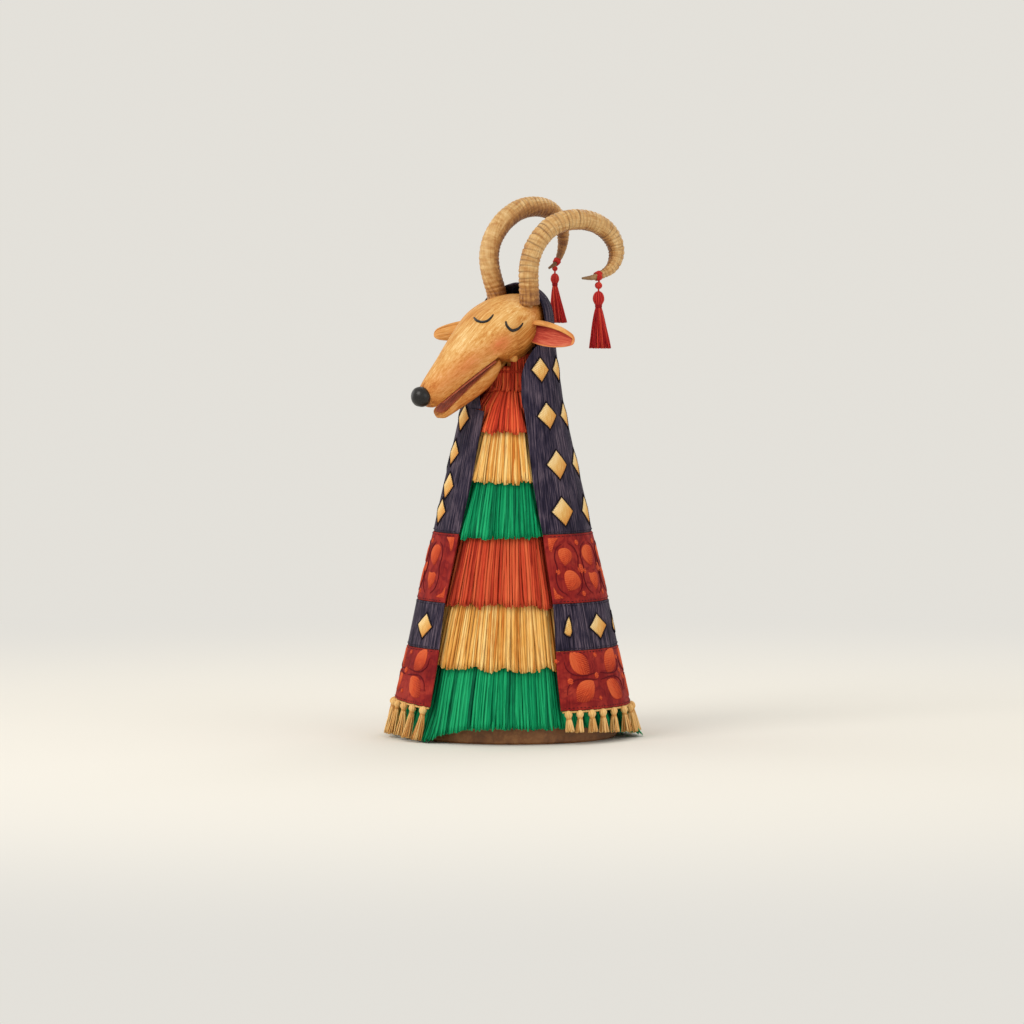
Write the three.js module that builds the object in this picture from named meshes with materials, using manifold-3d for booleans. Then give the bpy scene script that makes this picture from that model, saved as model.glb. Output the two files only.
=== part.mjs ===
// Goat figure for winter house-to-house singing: a turned wooden base and
// hollow post, a bound straw core dressed in six tiers of dyed raffia, a
// woven cloak, and a carved head that swivels on the post and claps its jaw.
// Millimetres, +Z up, origin on the floor in the middle of the hem, cloak
// opening facing -Y.
import * as THREE from 'three';
import { mergeVertices } from 'three/addons/utils/BufferGeometryUtils.js';
import Module from 'manifold-3d';

const wasm = await Module();
wasm.setup();

// ---------------------------------------------------------------- dimensions
const BASE_R = 116;            // turned base disc
const BASE_H = 30;
const RECESS_R = 30;           // finger recess under the base
const RECESS_H = 15;
const POST_R = 11;             // hollow post
const POST_BORE_R = 5;
const POST_TOP = 392;
const NECK_R = 22;             // wooden neck block that turns on the post
const NECK_Z0 = 362.3;
const NECK_Z1 = 400;
const HEM_R = 140.5;            // cloak radius extrapolated to the floor
const TAPER = 0.2185;          // cloak radius lost per mm of height
const CLOAK_T = 2.4;           // cloak cloth with its lining
const BANDS = [35, 101, 152, 227, 366]; // cloak band boundaries, bottom to top
const HEAD_YAW = -133;         // degrees, head forward direction in plan
const HEAD_PITCH = 36;         // degrees, nose down
const HEAD_ROLL = 8;           // degrees, head tilted to its left
const POLL = [-10.3, 5.4, 482.5];
const LIP_Z = -15.5;           // roof of the mouth in head coordinates
const JAW_PIVOT = [64, 0, -28];
const SLOT_HALF = 13;          // half width of the jaw slot between the cheeks
const ROD_R = 2;               // pull rod
const GAP = 0.3;

const rad = (d) => (d * Math.PI) / 180;
const cloakR = (z) => HEM_R - TAPER * z;

// ---------------------------------------------------------------- solid tools
// Position-only, merged, outward facing geometry.
function tidy(g) {
  let p = g.index ? g.toNonIndexed() : g.clone();
  for (const a of Object.keys(p.attributes)) if (a !== 'position') p.deleteAttribute(a);
  p = mergeVertices(p, 1e-3);
  const idx = p.index.array;
  const keep = [];
  for (let i = 0; i < idx.length; i += 3) {
    const [a, b, c] = [idx[i], idx[i + 1], idx[i + 2]];
    if (a !== b && b !== c && a !== c) keep.push(a, b, c);
  }
  const pos = p.getAttribute('position');
  let vol = 0;
  const A = new THREE.Vector3(), B = new THREE.Vector3(), C = new THREE.Vector3();
  for (let i = 0; i < keep.length; i += 3) {
    A.fromBufferAttribute(pos, keep[i]);
    B.fromBufferAttribute(pos, keep[i + 1]);
    C.fromBufferAttribute(pos, keep[i + 2]);
    vol += A.dot(B.cross(C)) / 6;
  }
  if (vol < 0) for (let i = 0; i < keep.length; i += 3) [keep[i + 1], keep[i + 2]] = [keep[i + 2], keep[i + 1]];
  const out = new THREE.BufferGeometry();
  out.setAttribute('position', pos.clone());
  out.setIndex(keep);
  return out;
}
function toSolid(g) {
  const t = tidy(g);
  return new wasm.Manifold(new wasm.Mesh({
    numProp: 3,
    vertProperties: new Float32Array(t.getAttribute('position').array),
    triVerts: new Uint32Array(t.index.array),
  }));
}
function toGeometry(m) {
  const mesh = m.getMesh();
  const g = new THREE.BufferGeometry();
  g.setAttribute('position', new THREE.BufferAttribute(new Float32Array(mesh.vertProperties), 3));
  g.setIndex(new THREE.BufferAttribute(new Uint32Array(mesh.triVerts), 1));
  g.computeVertexNormals();
  return g;
}
const cut = (a, ...bs) => toGeometry(bs.reduce((m, b) => m.subtract(toSolid(b)), toSolid(a)));
const join = (a, ...bs) => toGeometry(bs.reduce((m, b) => m.add(toSolid(b)), toSolid(a)));
const moved = (g, matrix) => g.clone().applyMatrix4(matrix);
const at = (g, x, y, z) => g.clone().translate(x, y, z);

// Skin over rings of points; open rings are capped, or the ends meet (loop).
function skin(rings, loop = false) {
  const n = rings[0].length;
  const v = [];
  for (const r of rings) for (const p of r) v.push(p.x, p.y, p.z);
  const idx = [];
  const R = rings.length;
  for (let i = 0; i < (loop ? R : R - 1); i++) {
    const a = i * n, b = ((i + 1) % R) * n;
    for (let j = 0; j < n; j++) {
      const k = (j + 1) % n;
      idx.push(a + j, a + k, b + k, a + j, b + k, b + j);
    }
  }
  if (!loop) {
    for (const [s, flip] of [[0, true], [(R - 1) * n, false]]) {
      const c = new THREE.Vector3();
      for (let j = 0; j < n; j++) c.add(new THREE.Vector3(v[(s + j) * 3], v[(s + j) * 3 + 1], v[(s + j) * 3 + 2]));
      c.divideScalar(n);
      const ci = v.length / 3;
      v.push(c.x, c.y, c.z);
      for (let j = 0; j < n; j++) {
        const k = (j + 1) % n;
        if (flip) idx.push(ci, s + k, s + j); else idx.push(ci, s + j, s + k);
      }
    }
  }
  const g = new THREE.BufferGeometry();
  g.setAttribute('position', new THREE.Float32BufferAttribute(v, 3));
  g.setIndex(idx);
  return tidy(g);
}
// Turned solid about +Z from [radius, height] points.
function turned(profile, seg = 40) {
  const g = new THREE.LatheGeometry(profile.map(([r, z]) => new THREE.Vector2(r, z)), seg);
  g.rotateX(Math.PI / 2);
  return tidy(g);
}
const ring = (r0, r1, z0, z1, seg = 40) => turned([[r0, z0], [r1, z0], [r1, z1], [r0, z1], [r0, z0]], seg);
const rod = (r, z0, z1, seg = 20) => turned([[0, z0], [r, z0], [r, z1], [0, z1]], seg);
const box = (x0, x1, y0, y1, z0, z1) => at(new THREE.BoxGeometry(x1 - x0, y1 - y0, z1 - z0), (x0 + x1) / 2, (y0 + y1) / 2, (z0 + z1) / 2);

// Tube of changing radius along a smooth curve.
function tube(points, radii, steps, sides) {
  const curve = new THREE.CatmullRomCurve3(points.map((p) => new THREE.Vector3(...p)), false, 'centripetal');
  const frames = curve.computeFrenetFrames(steps, false);
  const rings = [];
  for (let i = 0; i <= steps; i++) {
    const t = i / steps;
    const c = curve.getPointAt(t);
    const q = t * (radii.length - 1), k = Math.min(radii.length - 2, Math.floor(q));
    const r = radii[k] + (radii[k + 1] - radii[k]) * (q - k);
    const row = [];
    for (let j = 0; j < sides; j++) {
      const a = (j / sides) * Math.PI * 2;
      row.push(c.clone().addScaledVector(frames.normals[i], r * Math.cos(a)).addScaledVector(frames.binormals[i], r * Math.sin(a)));
    }
    rings.push(row);
  }
  return skin(rings);
}

// ---------------------------------------------------------------- materials
const mat = (color, roughness = 0.85, metalness = 0) => new THREE.MeshStandardMaterial({ color, roughness, metalness });
const M = {
  baseWood: mat('#8a5a33', 0.6), headWood: mat('#dca25c', 0.62), straw: mat('#cfa767', 0.9),
  twine: mat('#a5834f', 0.9), red: mat('#c23a2c', 0.85), cream: mat('#e2b877', 0.88),
  green: mat('#0f8b53', 0.85), orange: mat('#c2502b', 0.85), navy: mat('#2c2c3f', 0.95),
  crimson: mat('#93262b', 0.92), horn: mat('#c79a63', 0.55), pink: mat('#cf4f4a', 0.9),
  felt: mat('#dfa468', 0.9), black: mat('#18181a', 0.3), steel: mat('#8d8f92', 0.35, 0.9),
  tassel: mat('#b3202d', 0.85), mouth: mat('#8e2a2c', 0.8), dowel: mat('#b98a54', 0.7),
};

const root = new THREE.Group();
const headGroup = new THREE.Group();
headGroup.rotation.z = rad(HEAD_YAW);
const skullGroup = new THREE.Group();
skullGroup.rotation.order = 'YXZ';
skullGroup.rotation.y = rad(HEAD_PITCH);
skullGroup.rotation.x = rad(-HEAD_ROLL);
skullGroup.position.set(...POLL);
headGroup.add(skullGroup);
root.add(headGroup);
root.updateMatrixWorld(true);
skullGroup.updateMatrix();
const SKULL = skullGroup.matrix.clone();             // skull frame -> head frame
const UNSKULL = SKULL.clone().invert();              // head frame -> skull frame

function put(group, name, geometry, material) {
  geometry.computeVertexNormals();
  const m = new THREE.Mesh(geometry, material);
  m.name = name;
  group.add(m);
  return m;
}

// ---------------------------------------------------------------- base, post
const baseBlank = turned([[0, 0], [BASE_R - 2, 0], [BASE_R, 2], [BASE_R, 20], [BASE_R - 10, BASE_H], [0, BASE_H]], 40);
put(root, 'base_disc', cut(baseBlank,
  turned([[0, -1], [RECESS_R, -1], [RECESS_R - 2, RECESS_H], [0, RECESS_H]], 28),
  rod(POST_R + GAP, 18, 31, 20), rod(POST_BORE_R, 10, 20, 16)), M.baseWood);
put(root, 'post', ring(POST_BORE_R, POST_R, 18.3, POST_TOP, 20), M.dowel);
put(root, 'post_collar', turned([[POST_R + GAP, 30.3], [21, 30.3], [21, 33], [17, 42], [POST_R + GAP, 42], [POST_R + GAP, 30.3]], 20), M.baseWood);

// ---------------------------------------------------------------- straw core
const coreR = (z) => cloakR(z) - 15.5;
put(root, 'straw_core', turned([
  [22, 30.4], [coreR(30.4) - 6, 30.4], [coreR(120), 120], [coreR(210), 210], [coreR(300), 300],
  [46, 340], [38, 349.7], [POST_R + 0.4, 349.7], [POST_R + 0.4, 43], [22, 43], [22, 30.4]], 40), M.straw);
put(root, 'neck_bush', turned([[POST_R + GAP, 350], [25, 350], [25, 358], [22.5, 362], [POST_R + GAP, 362], [POST_R + GAP, 350]], 20), M.dowel);

// ---------------------------------------------------------------- raffia tiers
// Each skirt hangs from its own tied top and laps over the next one down.
function tier(name, zBot, zTop, material, flare = 0) {
  const rt = cloakR(zTop) - 11.4, rb = cloakR(zBot) - CLOAK_T - 1.2 + flare;
  const zm = zTop - 16, rm = cloakR(zm) - 9.6;
  put(root, name, turned([
    [rt - 2.6, zTop], [rm - 5, zm], [rb - 4.2, zBot], [rb, zBot],
    [rm, zm], [rt, zTop], [rt - 2.6, zTop]], 40), material);
}
put(root, 'tier_1_red', turned([
  [24, 387], [24, 379], [46, 357], [59.2, 341], [62.4, 341],
  [54, 355], [46, 367], [27, 387], [24, 387]], 40), M.red);
tier('tier_2_cream', 285, 347, M.cream);
tier('tier_3_green', 221, 295, M.green);
tier('tier_4_orange', 149, 231, M.orange);
tier('tier_5_cream', 78, 159, M.cream);
// the lowest skirt bellies out through the front opening
{
  const rings = [];
  const cols = 48;
  for (let j = 0; j < cols; j++) {
    const deg = (360 * j) / cols;
    const off = Math.min(deg, 360 - deg) / 33;
    const belly = off < 1 ? 0.5 + 0.5 * Math.cos(Math.PI * off) : 0;
    const a = rad(deg - 90);
    const rt = cloakR(90) - 11.6, rm = cloakR(74) - 10.2, rb = cloakR(2) - 8.6;
    rings.push([[rt - 2.6, 90], [rm - 5, 74], [rb - 4.2, 2], [rb + 7 * belly, 2], [rm + 2 * belly, 74], [rt, 90]]
      .map(([r, z]) => new THREE.Vector3(r * Math.cos(a), r * Math.sin(a), z)));
  }
  put(root, 'tier_6_green', skin(rings, true), M.green);
}
// twine that ties the tiers to the core
for (const [i, z] of [[1, 302], [2, 172], [3, 102]]) {
  const r = coreR(z) + 2.4;
  const p = [];
  for (let k = 0; k <= 5; k++) p.push([r + 1.5 * Math.cos(k * Math.PI * 0.4), z + 1.5 * Math.sin(k * Math.PI * 0.4)]);
  put(root, `twine_tie_${i}`, turned(p, 40), M.twine);
}

// ---------------------------------------------------------------- cloak
// Half angle of the front opening by height.
const OPEN = [[0, 34], [80, 33], [145, 34], [226, 31.5], [285, 26.5], [330, 25], [367, 22]];
function halfOpen(z) {
  for (let i = 1; i < OPEN.length; i++) {
    const [z0, a0] = OPEN[i - 1], [z1, a1] = OPEN[i];
    if (z <= z1) return a0 + ((a1 - a0) * (z - z0)) / (z1 - z0);
  }
  return OPEN[OPEN.length - 1][1];
}
// Shell sector between two heights, open to the front.
function cloakPanel(z0, z1, rows, cols = 36, thick = CLOAK_T) {
  const rings = [];
  for (let j = 0; j <= cols; j++) {
    const row = [];
    const face = (z, r) => {
      const h = halfOpen(z);
      const a = rad(-90 + h + ((360 - 2 * h) * j) / cols);
      return new THREE.Vector3(r * Math.cos(a), r * Math.sin(a), z);
    };
    for (let i = 0; i <= rows; i++) { const z = z0 + ((z1 - z0) * i) / rows; row.push(face(z, cloakR(z))); }
    for (let i = rows; i >= 0; i--) { const z = z0 + ((z1 - z0) * i) / rows; row.push(face(z, cloakR(z) - thick)); }
    rings.push(row);
  }
  return skin(rings);
}
put(root, 'cloak_upper_navy', cloakPanel(BANDS[3] + GAP, BANDS[4], 3), M.navy);
put(root, 'cloak_band_red_upper', cloakPanel(BANDS[2] + GAP, BANDS[3], 1), M.crimson);
put(root, 'cloak_band_navy_lower', cloakPanel(BANDS[1] + GAP, BANDS[2], 1), M.navy);
put(root, 'cloak_band_red_lower', cloakPanel(BANDS[0] + GAP, BANDS[1], 1), M.crimson);

// ---------------------------------------------------------------- hem fringe
// Knotted tassels on a header cord, in three lengths: right, back and left.
function hemFringe(name, a0, a1, count) {
  const z = 31, r = cloakR(z) - 1.2;
  const rings = [];
  const cols = count;
  for (let j = 0; j <= cols; j++) {
    const a = rad(a0 + ((a1 - a0) * j) / cols);
    rings.push([[r - 1.3, z - 1.5], [r + 1.3, z - 1.5], [r + 1.3, z + 3.5], [r - 1.3, z + 3.5]]
      .map(([q, h]) => new THREE.Vector3(q * Math.cos(a), q * Math.sin(a), h)));
  }
  let m = toSolid(skin(rings));
  const bob = turned([[0, 34.4], [3.4, 33], [4.5, 29.6], [2.3, 25.6], [5.2, 2], [0, 2]].map(([q, h]) => [q, h - z]), 5);
  for (let k = 0; k < count; k++) {
    const a = rad(a0 + ((a1 - a0) * (k + 0.5)) / count);
    const g = bob.clone().applyMatrix4(new THREE.Matrix4().makeRotationY(rad(-9)));
    g.applyMatrix4(new THREE.Matrix4().makeRotationZ(a));
    m = m.add(toSolid(at(g, (r + 1) * Math.cos(a), (r + 1) * Math.sin(a), z)));
  }
  put(root, name, toGeometry(m), M.cream);
}
hemFringe('hem_fringe_right', -90 + 34.4, 6, 7);
hemFringe('hem_fringe_back_right', 7, 89, 12);
hemFringe('hem_fringe_back_left', 91, 173, 12);
hemFringe('hem_fringe_left', 174, 270 - 34.4, 7);

// ---------------------------------------------------------------- carved head
// Stations along the head: [s, top, middle, bottom, half width, upper power, lower power]
const HEAD = [
  [-12, -3, -14, -26, 12, 2.2, 2.2],
  [-8, 1.5, -14, -32, 20, 2.2, 2.2],
  [0, 8, -10, -38, 28, 2.3, 2.2],
  [14, 15.5, -8, -43, 35, 2.5, 2.2],
  [30, 21, -7, -46, 39.5, 2.6, 2.2],
  [46, 24, -6, -46, 40.5, 2.6, 2.2],
  [58, 25, -5, -42, 39, 2.6, 2.3],
  [68, 25, -4, -33, 36.5, 2.6, 2.6],
  [76, 24.6, -4, -20, 34, 2.6, 4],
  [80, 24.2, -4, LIP_Z, 32.6, 2.6, 5],
  [96, 22.8, -3.5, LIP_Z, 28, 2.5, 5],
  [113, 20.2, -3, LIP_Z, 23.6, 2.4, 5],
  [130, 17, -3, LIP_Z, 19.6, 2.3, 5],
  [146, 14, -3, LIP_Z, 16.2, 2.3, 5],
  [160, 11.2, -3, LIP_Z, 13.4, 2.2, 4.5],
  [168, 8.8, -3, LIP_Z, 11, 2.2, 3.5],
  [171, 5.5, -3, LIP_Z + 2, 8, 2.2, 2.6],
];
function section(s, top, mid, bot, b, nu, nl, n = 22) {
  const row = [];
  for (let j = 0; j < n; j++) {
    const t = (j / n) * Math.PI * 2;
    const c = Math.cos(t), q = Math.sin(t);
    const p = q >= 0 ? nu : nl;
    const h = q >= 0 ? top - mid : mid - bot;
    row.push(new THREE.Vector3(s, b * Math.sign(c) * Math.abs(c) ** (2 / p), mid + h * Math.sign(q) * Math.abs(q) ** (2 / p)));
  }
  return row;
}
const headBlank = skin(HEAD.map((a) => section(...a)));
const NOSE = [173.5, 0, 3], NOSE_R = 11;
const ball = (r, a = 16, b = 10) => tidy(new THREE.SphereGeometry(r, a, b));
const alongY = (g) => g.clone().rotateX(-Math.PI / 2);
const pinHole = at(alongY(rod(2.85, -34.3, 34.3, 12)), ...JAW_PIVOT);
const slot = box(27, 84, -SLOT_HALF, SLOT_HALF, -80, LIP_Z + 0.5);
const neckStub = moved(rod(NECK_R, NECK_Z1 + GAP, 446, 20), UNSKULL);
const rodRoom = moved(rod(8.6, NECK_Z1 - 4, 441, 14), UNSKULL);

// horns: [forward, left, up] in the head frame
const HORN_L = [[2.3, 34, 478], [4.3, 35.1, 498.5], [5.1, 36.1, 518.7], [1.9, 37.2, 534.2], [-6, 38.3, 549], [-21.3, 39.4, 564.3], [-41.5, 40.4, 572.3], [-65, 41.5, 573.6], [-85, 42.6, 568.8], [-99.5, 43.7, 559], [-108, 44.7, 545.8], [-109.5, 45.8, 532.4], [-103, 46.9, 519.4], [-90.4, 48, 511.8], [-75.4, 48, 507.5], [-60, 48, 506.5]];
const HORN_R = [[3.1, -23, 478], [5.2, -23.9, 492.2], [9.4, -24.9, 505.8], [12.5, -25.8, 519.4], [12.5, -26.8, 532.7], [7.6, -27.7, 547], [-5.8, -28.7, 562.9], [-18.6, -29.6, 571.3], [-32.9, -30.6, 577.6], [-48, -31.5, 580.6], [-63.8, -32.5, 580.4], [-78.4, -33.4, 576.4], [-89.6, -34.4, 568], [-96.3, -35.3, 557.4], [-97.9, -36.3, 545], [-95, -37, 532.8], [-88.8, -37, 523.1], [-78.5, -37, 516.8]];
const HORN_RADII = [11.2, 11, 11, 11, 11, 11.2, 11.4, 11.4, 11.2, 10.8, 9.8, 8.2, 5.8, 3.6, 1.2];
const hornBlankL = tube(HORN_L, HORN_RADII, 34, 10);
const hornBlankR = tube(HORN_R, HORN_RADII, 34, 10);
const PEG_R = 3.5;
const pegL = at(rod(PEG_R, 0, 34, 14), 2.9, 34.3, 461);
const pegR = at(rod(PEG_R, 0, 34, 14), 3.9, -23.3, 463);
const pegHoleL = at(rod(PEG_R + GAP, 0, 34.6, 14), 2.9, 34.3, 460.7);
const pegHoleR = at(rod(PEG_R + GAP, 0, 34.6, 14), 3.9, -23.3, 462.7);
// sockets sunk into the crown for the horn roots
const inflate = (radii, d) => radii.map((r) => r + d);
const hornSocketL = tube(HORN_L.slice(0, 3), inflate([11.2, 11.1, 11], 0.9), 3, 10);
const hornSocketR = tube(HORN_R.slice(0, 3), inflate([11.2, 11.1, 11], 0.9), 3, 10);
// the socket floors sit a little below the horn roots
const dropL = at(hornSocketL, 0, 0, -0.4), dropR = at(hornSocketR, 0, 0, -0.4);

// ears: cupped leaves, [along, across] outline lifted into the skull frame
function ear(rootP, tipP, width, up, thick, inset = 0) {
  const a = new THREE.Vector3(...rootP), b = new THREE.Vector3(...tipP);
  const dir = b.clone().sub(a);
  const L = dir.length();
  dir.normalize();
  const nrm = new THREE.Vector3(...up).addScaledVector(dir, -new THREE.Vector3(...up).dot(dir)).normalize();
  const side = nrm.clone().cross(dir).normalize();
  const rings = [];
  const N = 9;
  for (let i = 0; i <= N; i++) {
    const t = 0.02 + (0.97 * i) / N;
    const w = Math.max(1.2, (width / 2) * Math.sin(Math.PI * Math.min(0.985, 0.2 + 0.8 * t)) ** 0.75 - inset);
    const c = a.clone().addScaledVector(dir, L * t);
    const row = [];
    const K = 6;
    for (let j = 0; j <= K; j++) {
      const x = -w + (2 * w * j) / K;
      row.push(c.clone().addScaledVector(side, x).addScaledVector(nrm, (x * x) / (width * 0.9)));
    }
    for (let j = K; j >= 0; j--) {
      const x = -w + (2 * w * j) / K;
      row.push(c.clone().addScaledVector(side, x).addScaledVector(nrm, (x * x) / (width * 0.9) - thick));
    }
    rings.push(row);
  }
  return skin(rings);
}
const EAR_L = [[29, 28, -20], [25, 88, -15]], EAR_R = [[38, -28, -3], [79, -73, 5]];
const EAR_UP_L = [0.85, 0.15, 0.45], EAR_UP_R = [-0.58, -0.56, -0.55];
const earL = ear(...EAR_L, 31, EAR_UP_L, 3);
const earR = ear(...EAR_R, 26, EAR_UP_R, 3);

// skull
const skull = cut(join(headBlank, neckStub), slot, pinHole, rodRoom,
  at(ball(NOSE_R + GAP + 0.15, 16, 10), ...NOSE),
  moved(dropL, UNSKULL), moved(dropR, UNSKULL), moved(pegHoleL, UNSKULL), moved(pegHoleR, UNSKULL));
const liner = (inset, z0, z1) => skin([[87.5, 30], [96, 27.2], [113, 23], [130, 19], [146, 15.6], [155, 13.8]].map(([s, b]) => {
  const w = b - inset;
  return [[-w, z0], [w, z0], [w, z1], [-w, z1]].map(([y, z]) => new THREE.Vector3(s, y, z));
}));
const palateCavity = liner(2.6, LIP_Z - 2, LIP_Z + 1.5);
const skullCut = cut(skull, palateCavity);
put(skullGroup, 'head_carving', skullCut, M.headWood);
const palate = skin([[87.9, 29.9], [96, 27.2], [113, 23], [130, 19], [146, 15.6], [154.6, 13.8]].map(([s, b]) => {
  const w = b - 2.95;
  return [[-w, LIP_Z], [w, LIP_Z], [w, LIP_Z + 1.2], [-w, LIP_Z + 1.2]].map(([y, z]) => new THREE.Vector3(s, y, z));
}));
put(skullGroup, 'palate_lining', palate, M.mouth);
put(skullGroup, 'nose_ball', at(ball(NOSE_R), ...NOSE), M.black);
put(skullGroup, 'jaw_pin', at(alongY(rod(2.5, -34, 34, 12)), ...JAW_PIVOT), M.steel);
const earShellL = cut(earL, headBlankGrown());
const earShellR = cut(earR, headBlankGrown());
put(skullGroup, 'ear_left', earShellL, M.felt);
put(skullGroup, 'ear_right', earShellR, M.felt);
function headBlankGrown() {
  return skin(HEAD.map(([s, t, m, b, w, nu, nl]) => section(s, t + 0.5, m, b - 0.5, w + 0.5, nu, nl)));
}
// ear linings: a thinner leaf laid in the cup
function liningOf(pair, up, width, lift) {
  const n = new THREE.Vector3(...up);
  const d = new THREE.Vector3(...pair[1]).sub(new THREE.Vector3(...pair[0])).normalize();
  n.addScaledVector(d, -n.dot(d)).normalize().multiplyScalar(lift);
  const mv = (p, k) => { const q = new THREE.Vector3(...p).add(n).addScaledVector(d, k); return [q.x, q.y, q.z]; };
  return ear(mv(pair[0], 0), mv(pair[1], -5), width, up, 0.9, 3.4);
}
put(skullGroup, 'ear_lining_left', cut(liningOf(EAR_L, EAR_UP_L, 31, 1.3), headBlankGrown()), M.pink);
put(skullGroup, 'ear_lining_right', cut(liningOf(EAR_R, EAR_UP_R, 26, 1.3), headBlankGrown()), M.pink);

put(headGroup, 'horn_left', cut(hornBlankL, pegHoleL), M.horn);
put(headGroup, 'horn_right', cut(hornBlankR, pegHoleR), M.horn);
put(headGroup, 'horn_peg_left', pegL, M.dowel);
put(headGroup, 'horn_peg_right', pegR, M.dowel);

// neck block with a blind socket for the post, and the raffia ruff round it
put(headGroup, 'neck_block', cut(rod(NECK_R, NECK_Z0, NECK_Z1, 24),
  rod(POST_R + GAP, NECK_Z0 - 1, POST_TOP + GAP, 20), rod(5, POST_TOP - 1, NECK_Z1 + 1, 14)), M.dowel);
const chinRoom = moved(box(50, 130, -SLOT_HALF - 6, SLOT_HALF + 6, -70, 0), SKULL);
put(headGroup, 'neck_ruff_red', cut(turned([[NECK_R + GAP, 387.6], [27.8, 387.6], [27.4, 398], [25.4, 414], [NECK_R + GAP, 414], [NECK_R + GAP, 387.6]], 24), chinRoom), M.red);

// hood: woven dome behind the horns, falling to the cloak
const HOOD = [[60.4, 366.4], [55.6, 390], [51.2, 410], [47.9, 430], [46.2, 450], [45.6, 462], [43, 476], [37, 487], [27, 495.5], [14, 500.3], [0, 501.6]];
const hoodIn = HOOD.map(([r, z], i) => [Math.max(0, r - 2.4 + (i > 5 ? (i - 5) * 0.12 : 0)), z - (i > 5 ? 1.1 + (i - 5) * 0.26 : 0)]);
hoodIn[0][1] = 366.4;
const hoodShell = turned([...HOOD, ...hoodIn.reverse(), HOOD[0]], 36);
const earRoom = ear(...EAR_L, 35, EAR_UP_L, 5.5);
// everything ahead of a raking plane is cut away for the face
const faceWedge = (y0, y1, xTop) => skin([[600, xTop], [452, xTop], [418, 22], [360, 25.6]].map(([z, x]) =>
  [[x, y0], [200, y0], [200, y1], [x, y1]].map(([px, py]) => new THREE.Vector3(px, py, z))));
const faceCut = faceWedge(-36, 80, -9);
const cheekCut = faceWedge(-80, -35.9, 13);
const grownSkull = moved(skin(HEAD.map(([s, t, m, b, w, nu, nl]) => section(s - 1.2, t + 1.2, m, b - 1.2, w + 1.2, nu, nl))), SKULL);
put(headGroup, 'hood_navy', cut(hoodShell, faceCut, cheekCut, grownSkull, moved(earRoom, SKULL), moved(at(earRoom, 2.4, 0.4, 1), SKULL), moved(at(earRoom, 4.4, 0.8, 1.8), SKULL)), M.navy);

// ---------------------------------------------------------------- lower jaw
const JAW = [
  [80, -19.4, -36, 27], [90, -20.5, -43.5, 25.4], [104, -22, -45.8, 22.4], [120, -23.7, -44.6, 18.8],
  [136, -25.4, -42, 15.2], [150, -26.9, -39.4, 12.2], [160, -28, -37, 10], [165.5, -28.9, -34.5, 7.4],
];
const jawBowl = skin(JAW.map(([s, top, bot, w]) => {
  const row = [new THREE.Vector3(s, -w, top), new THREE.Vector3(s, w, top)];
  const K = 9;
  for (let k = 0; k <= K; k++) {
    const t = (k / K) * Math.PI;
    row.push(new THREE.Vector3(s, w * Math.sign(Math.cos(t)) * Math.abs(Math.cos(t)) ** 0.75, top - 1.2 - (top - 1.2 - bot) * Math.sin(t) ** 0.8));
  }
  return row;
}));
// tongue between the cheeks with the pivot eye and the tail over the post
const tongue = new THREE.Shape();
tongue.moveTo(84, -19.9); tongue.lineTo(70, -19.2); tongue.lineTo(62, -18.6); tongue.lineTo(55.5, -23);
tongue.lineTo(44, -33.5); tongue.lineTo(37.5, -37.6); tongue.lineTo(37.5, -42); tongue.lineTo(44, -41.6); tongue.lineTo(50, -38.4);
tongue.lineTo(57, -36.5); tongue.lineTo(66, -38.6); tongue.lineTo(76, -39.5); tongue.lineTo(84, -39);
const tongueBody = at(new THREE.ExtrudeGeometry(tongue, { depth: 2 * (SLOT_HALF - 0.8), bevelEnabled: false }).rotateX(Math.PI / 2), 0, SLOT_HALF - 0.8, 0);
const tailTrim = [box(30, 53, 7, 30, -60, 0), box(30, 53, -30, -7, -60, 0)];
const tailHole = moved(rod(3.4, 395, 445, 12), UNSKULL);
const jawBore = at(alongY(rod(3, -20, 20, 14)), ...JAW_PIVOT);
const jaw = cut(join(tongueBody, jawBowl), ...tailTrim, jawBore, tailHole);
const jawCavity = skin(JAW.slice(1, 7).map(([s, top, , w]) => {
  const q = w - 3;
  return [[-q, top - 1.6], [q, top - 1.6], [q, top + 3], [-q, top + 3]].map(([y, z]) => new THREE.Vector3(s, y, z));
}));
put(skullGroup, 'lower_jaw', cut(jaw, jawCavity), M.headWood);
put(skullGroup, 'jaw_lining', skin(JAW.slice(1, 7).map(([s, top, , w], i) => {
  const q = w - 3.35, e = i === 0 ? 0.4 : i === 5 ? -0.4 : 0;
  return [[-q, top - 1.25], [q, top - 1.25], [q, top - 0.1], [-q, top - 0.1]].map(([y, z]) => new THREE.Vector3(s + e, y, z));
})), M.mouth);

// ---------------------------------------------------------------- pull gear
// rod hangs by its cap on the jaw tail and ends in a knob inside the recess
const CAP_Z = 431.6;
put(root, 'pull_rod', rod(ROD_R, 11.5, CAP_Z + 3.4, 12), M.steel);
put(root, 'rod_cap', cut(turned([[0, CAP_Z], [6.4, CAP_Z], [6.4, CAP_Z + 3.4], [4.5, CAP_Z + 5], [0, CAP_Z + 5]], 20), rod(ROD_R + GAP, CAP_Z - 1, CAP_Z + 3.7, 12)), M.steel);
put(root, 'pull_knob', cut(turned([[0, 2], [6, 2.2], [9.5, 4], [10.5, 6.4], [8.5, 9], [4.2, 10.6], [4.2, 12.4], [0, 12.4]], 20), rod(ROD_R + GAP, 11.2, 14, 12)), M.baseWood);

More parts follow.
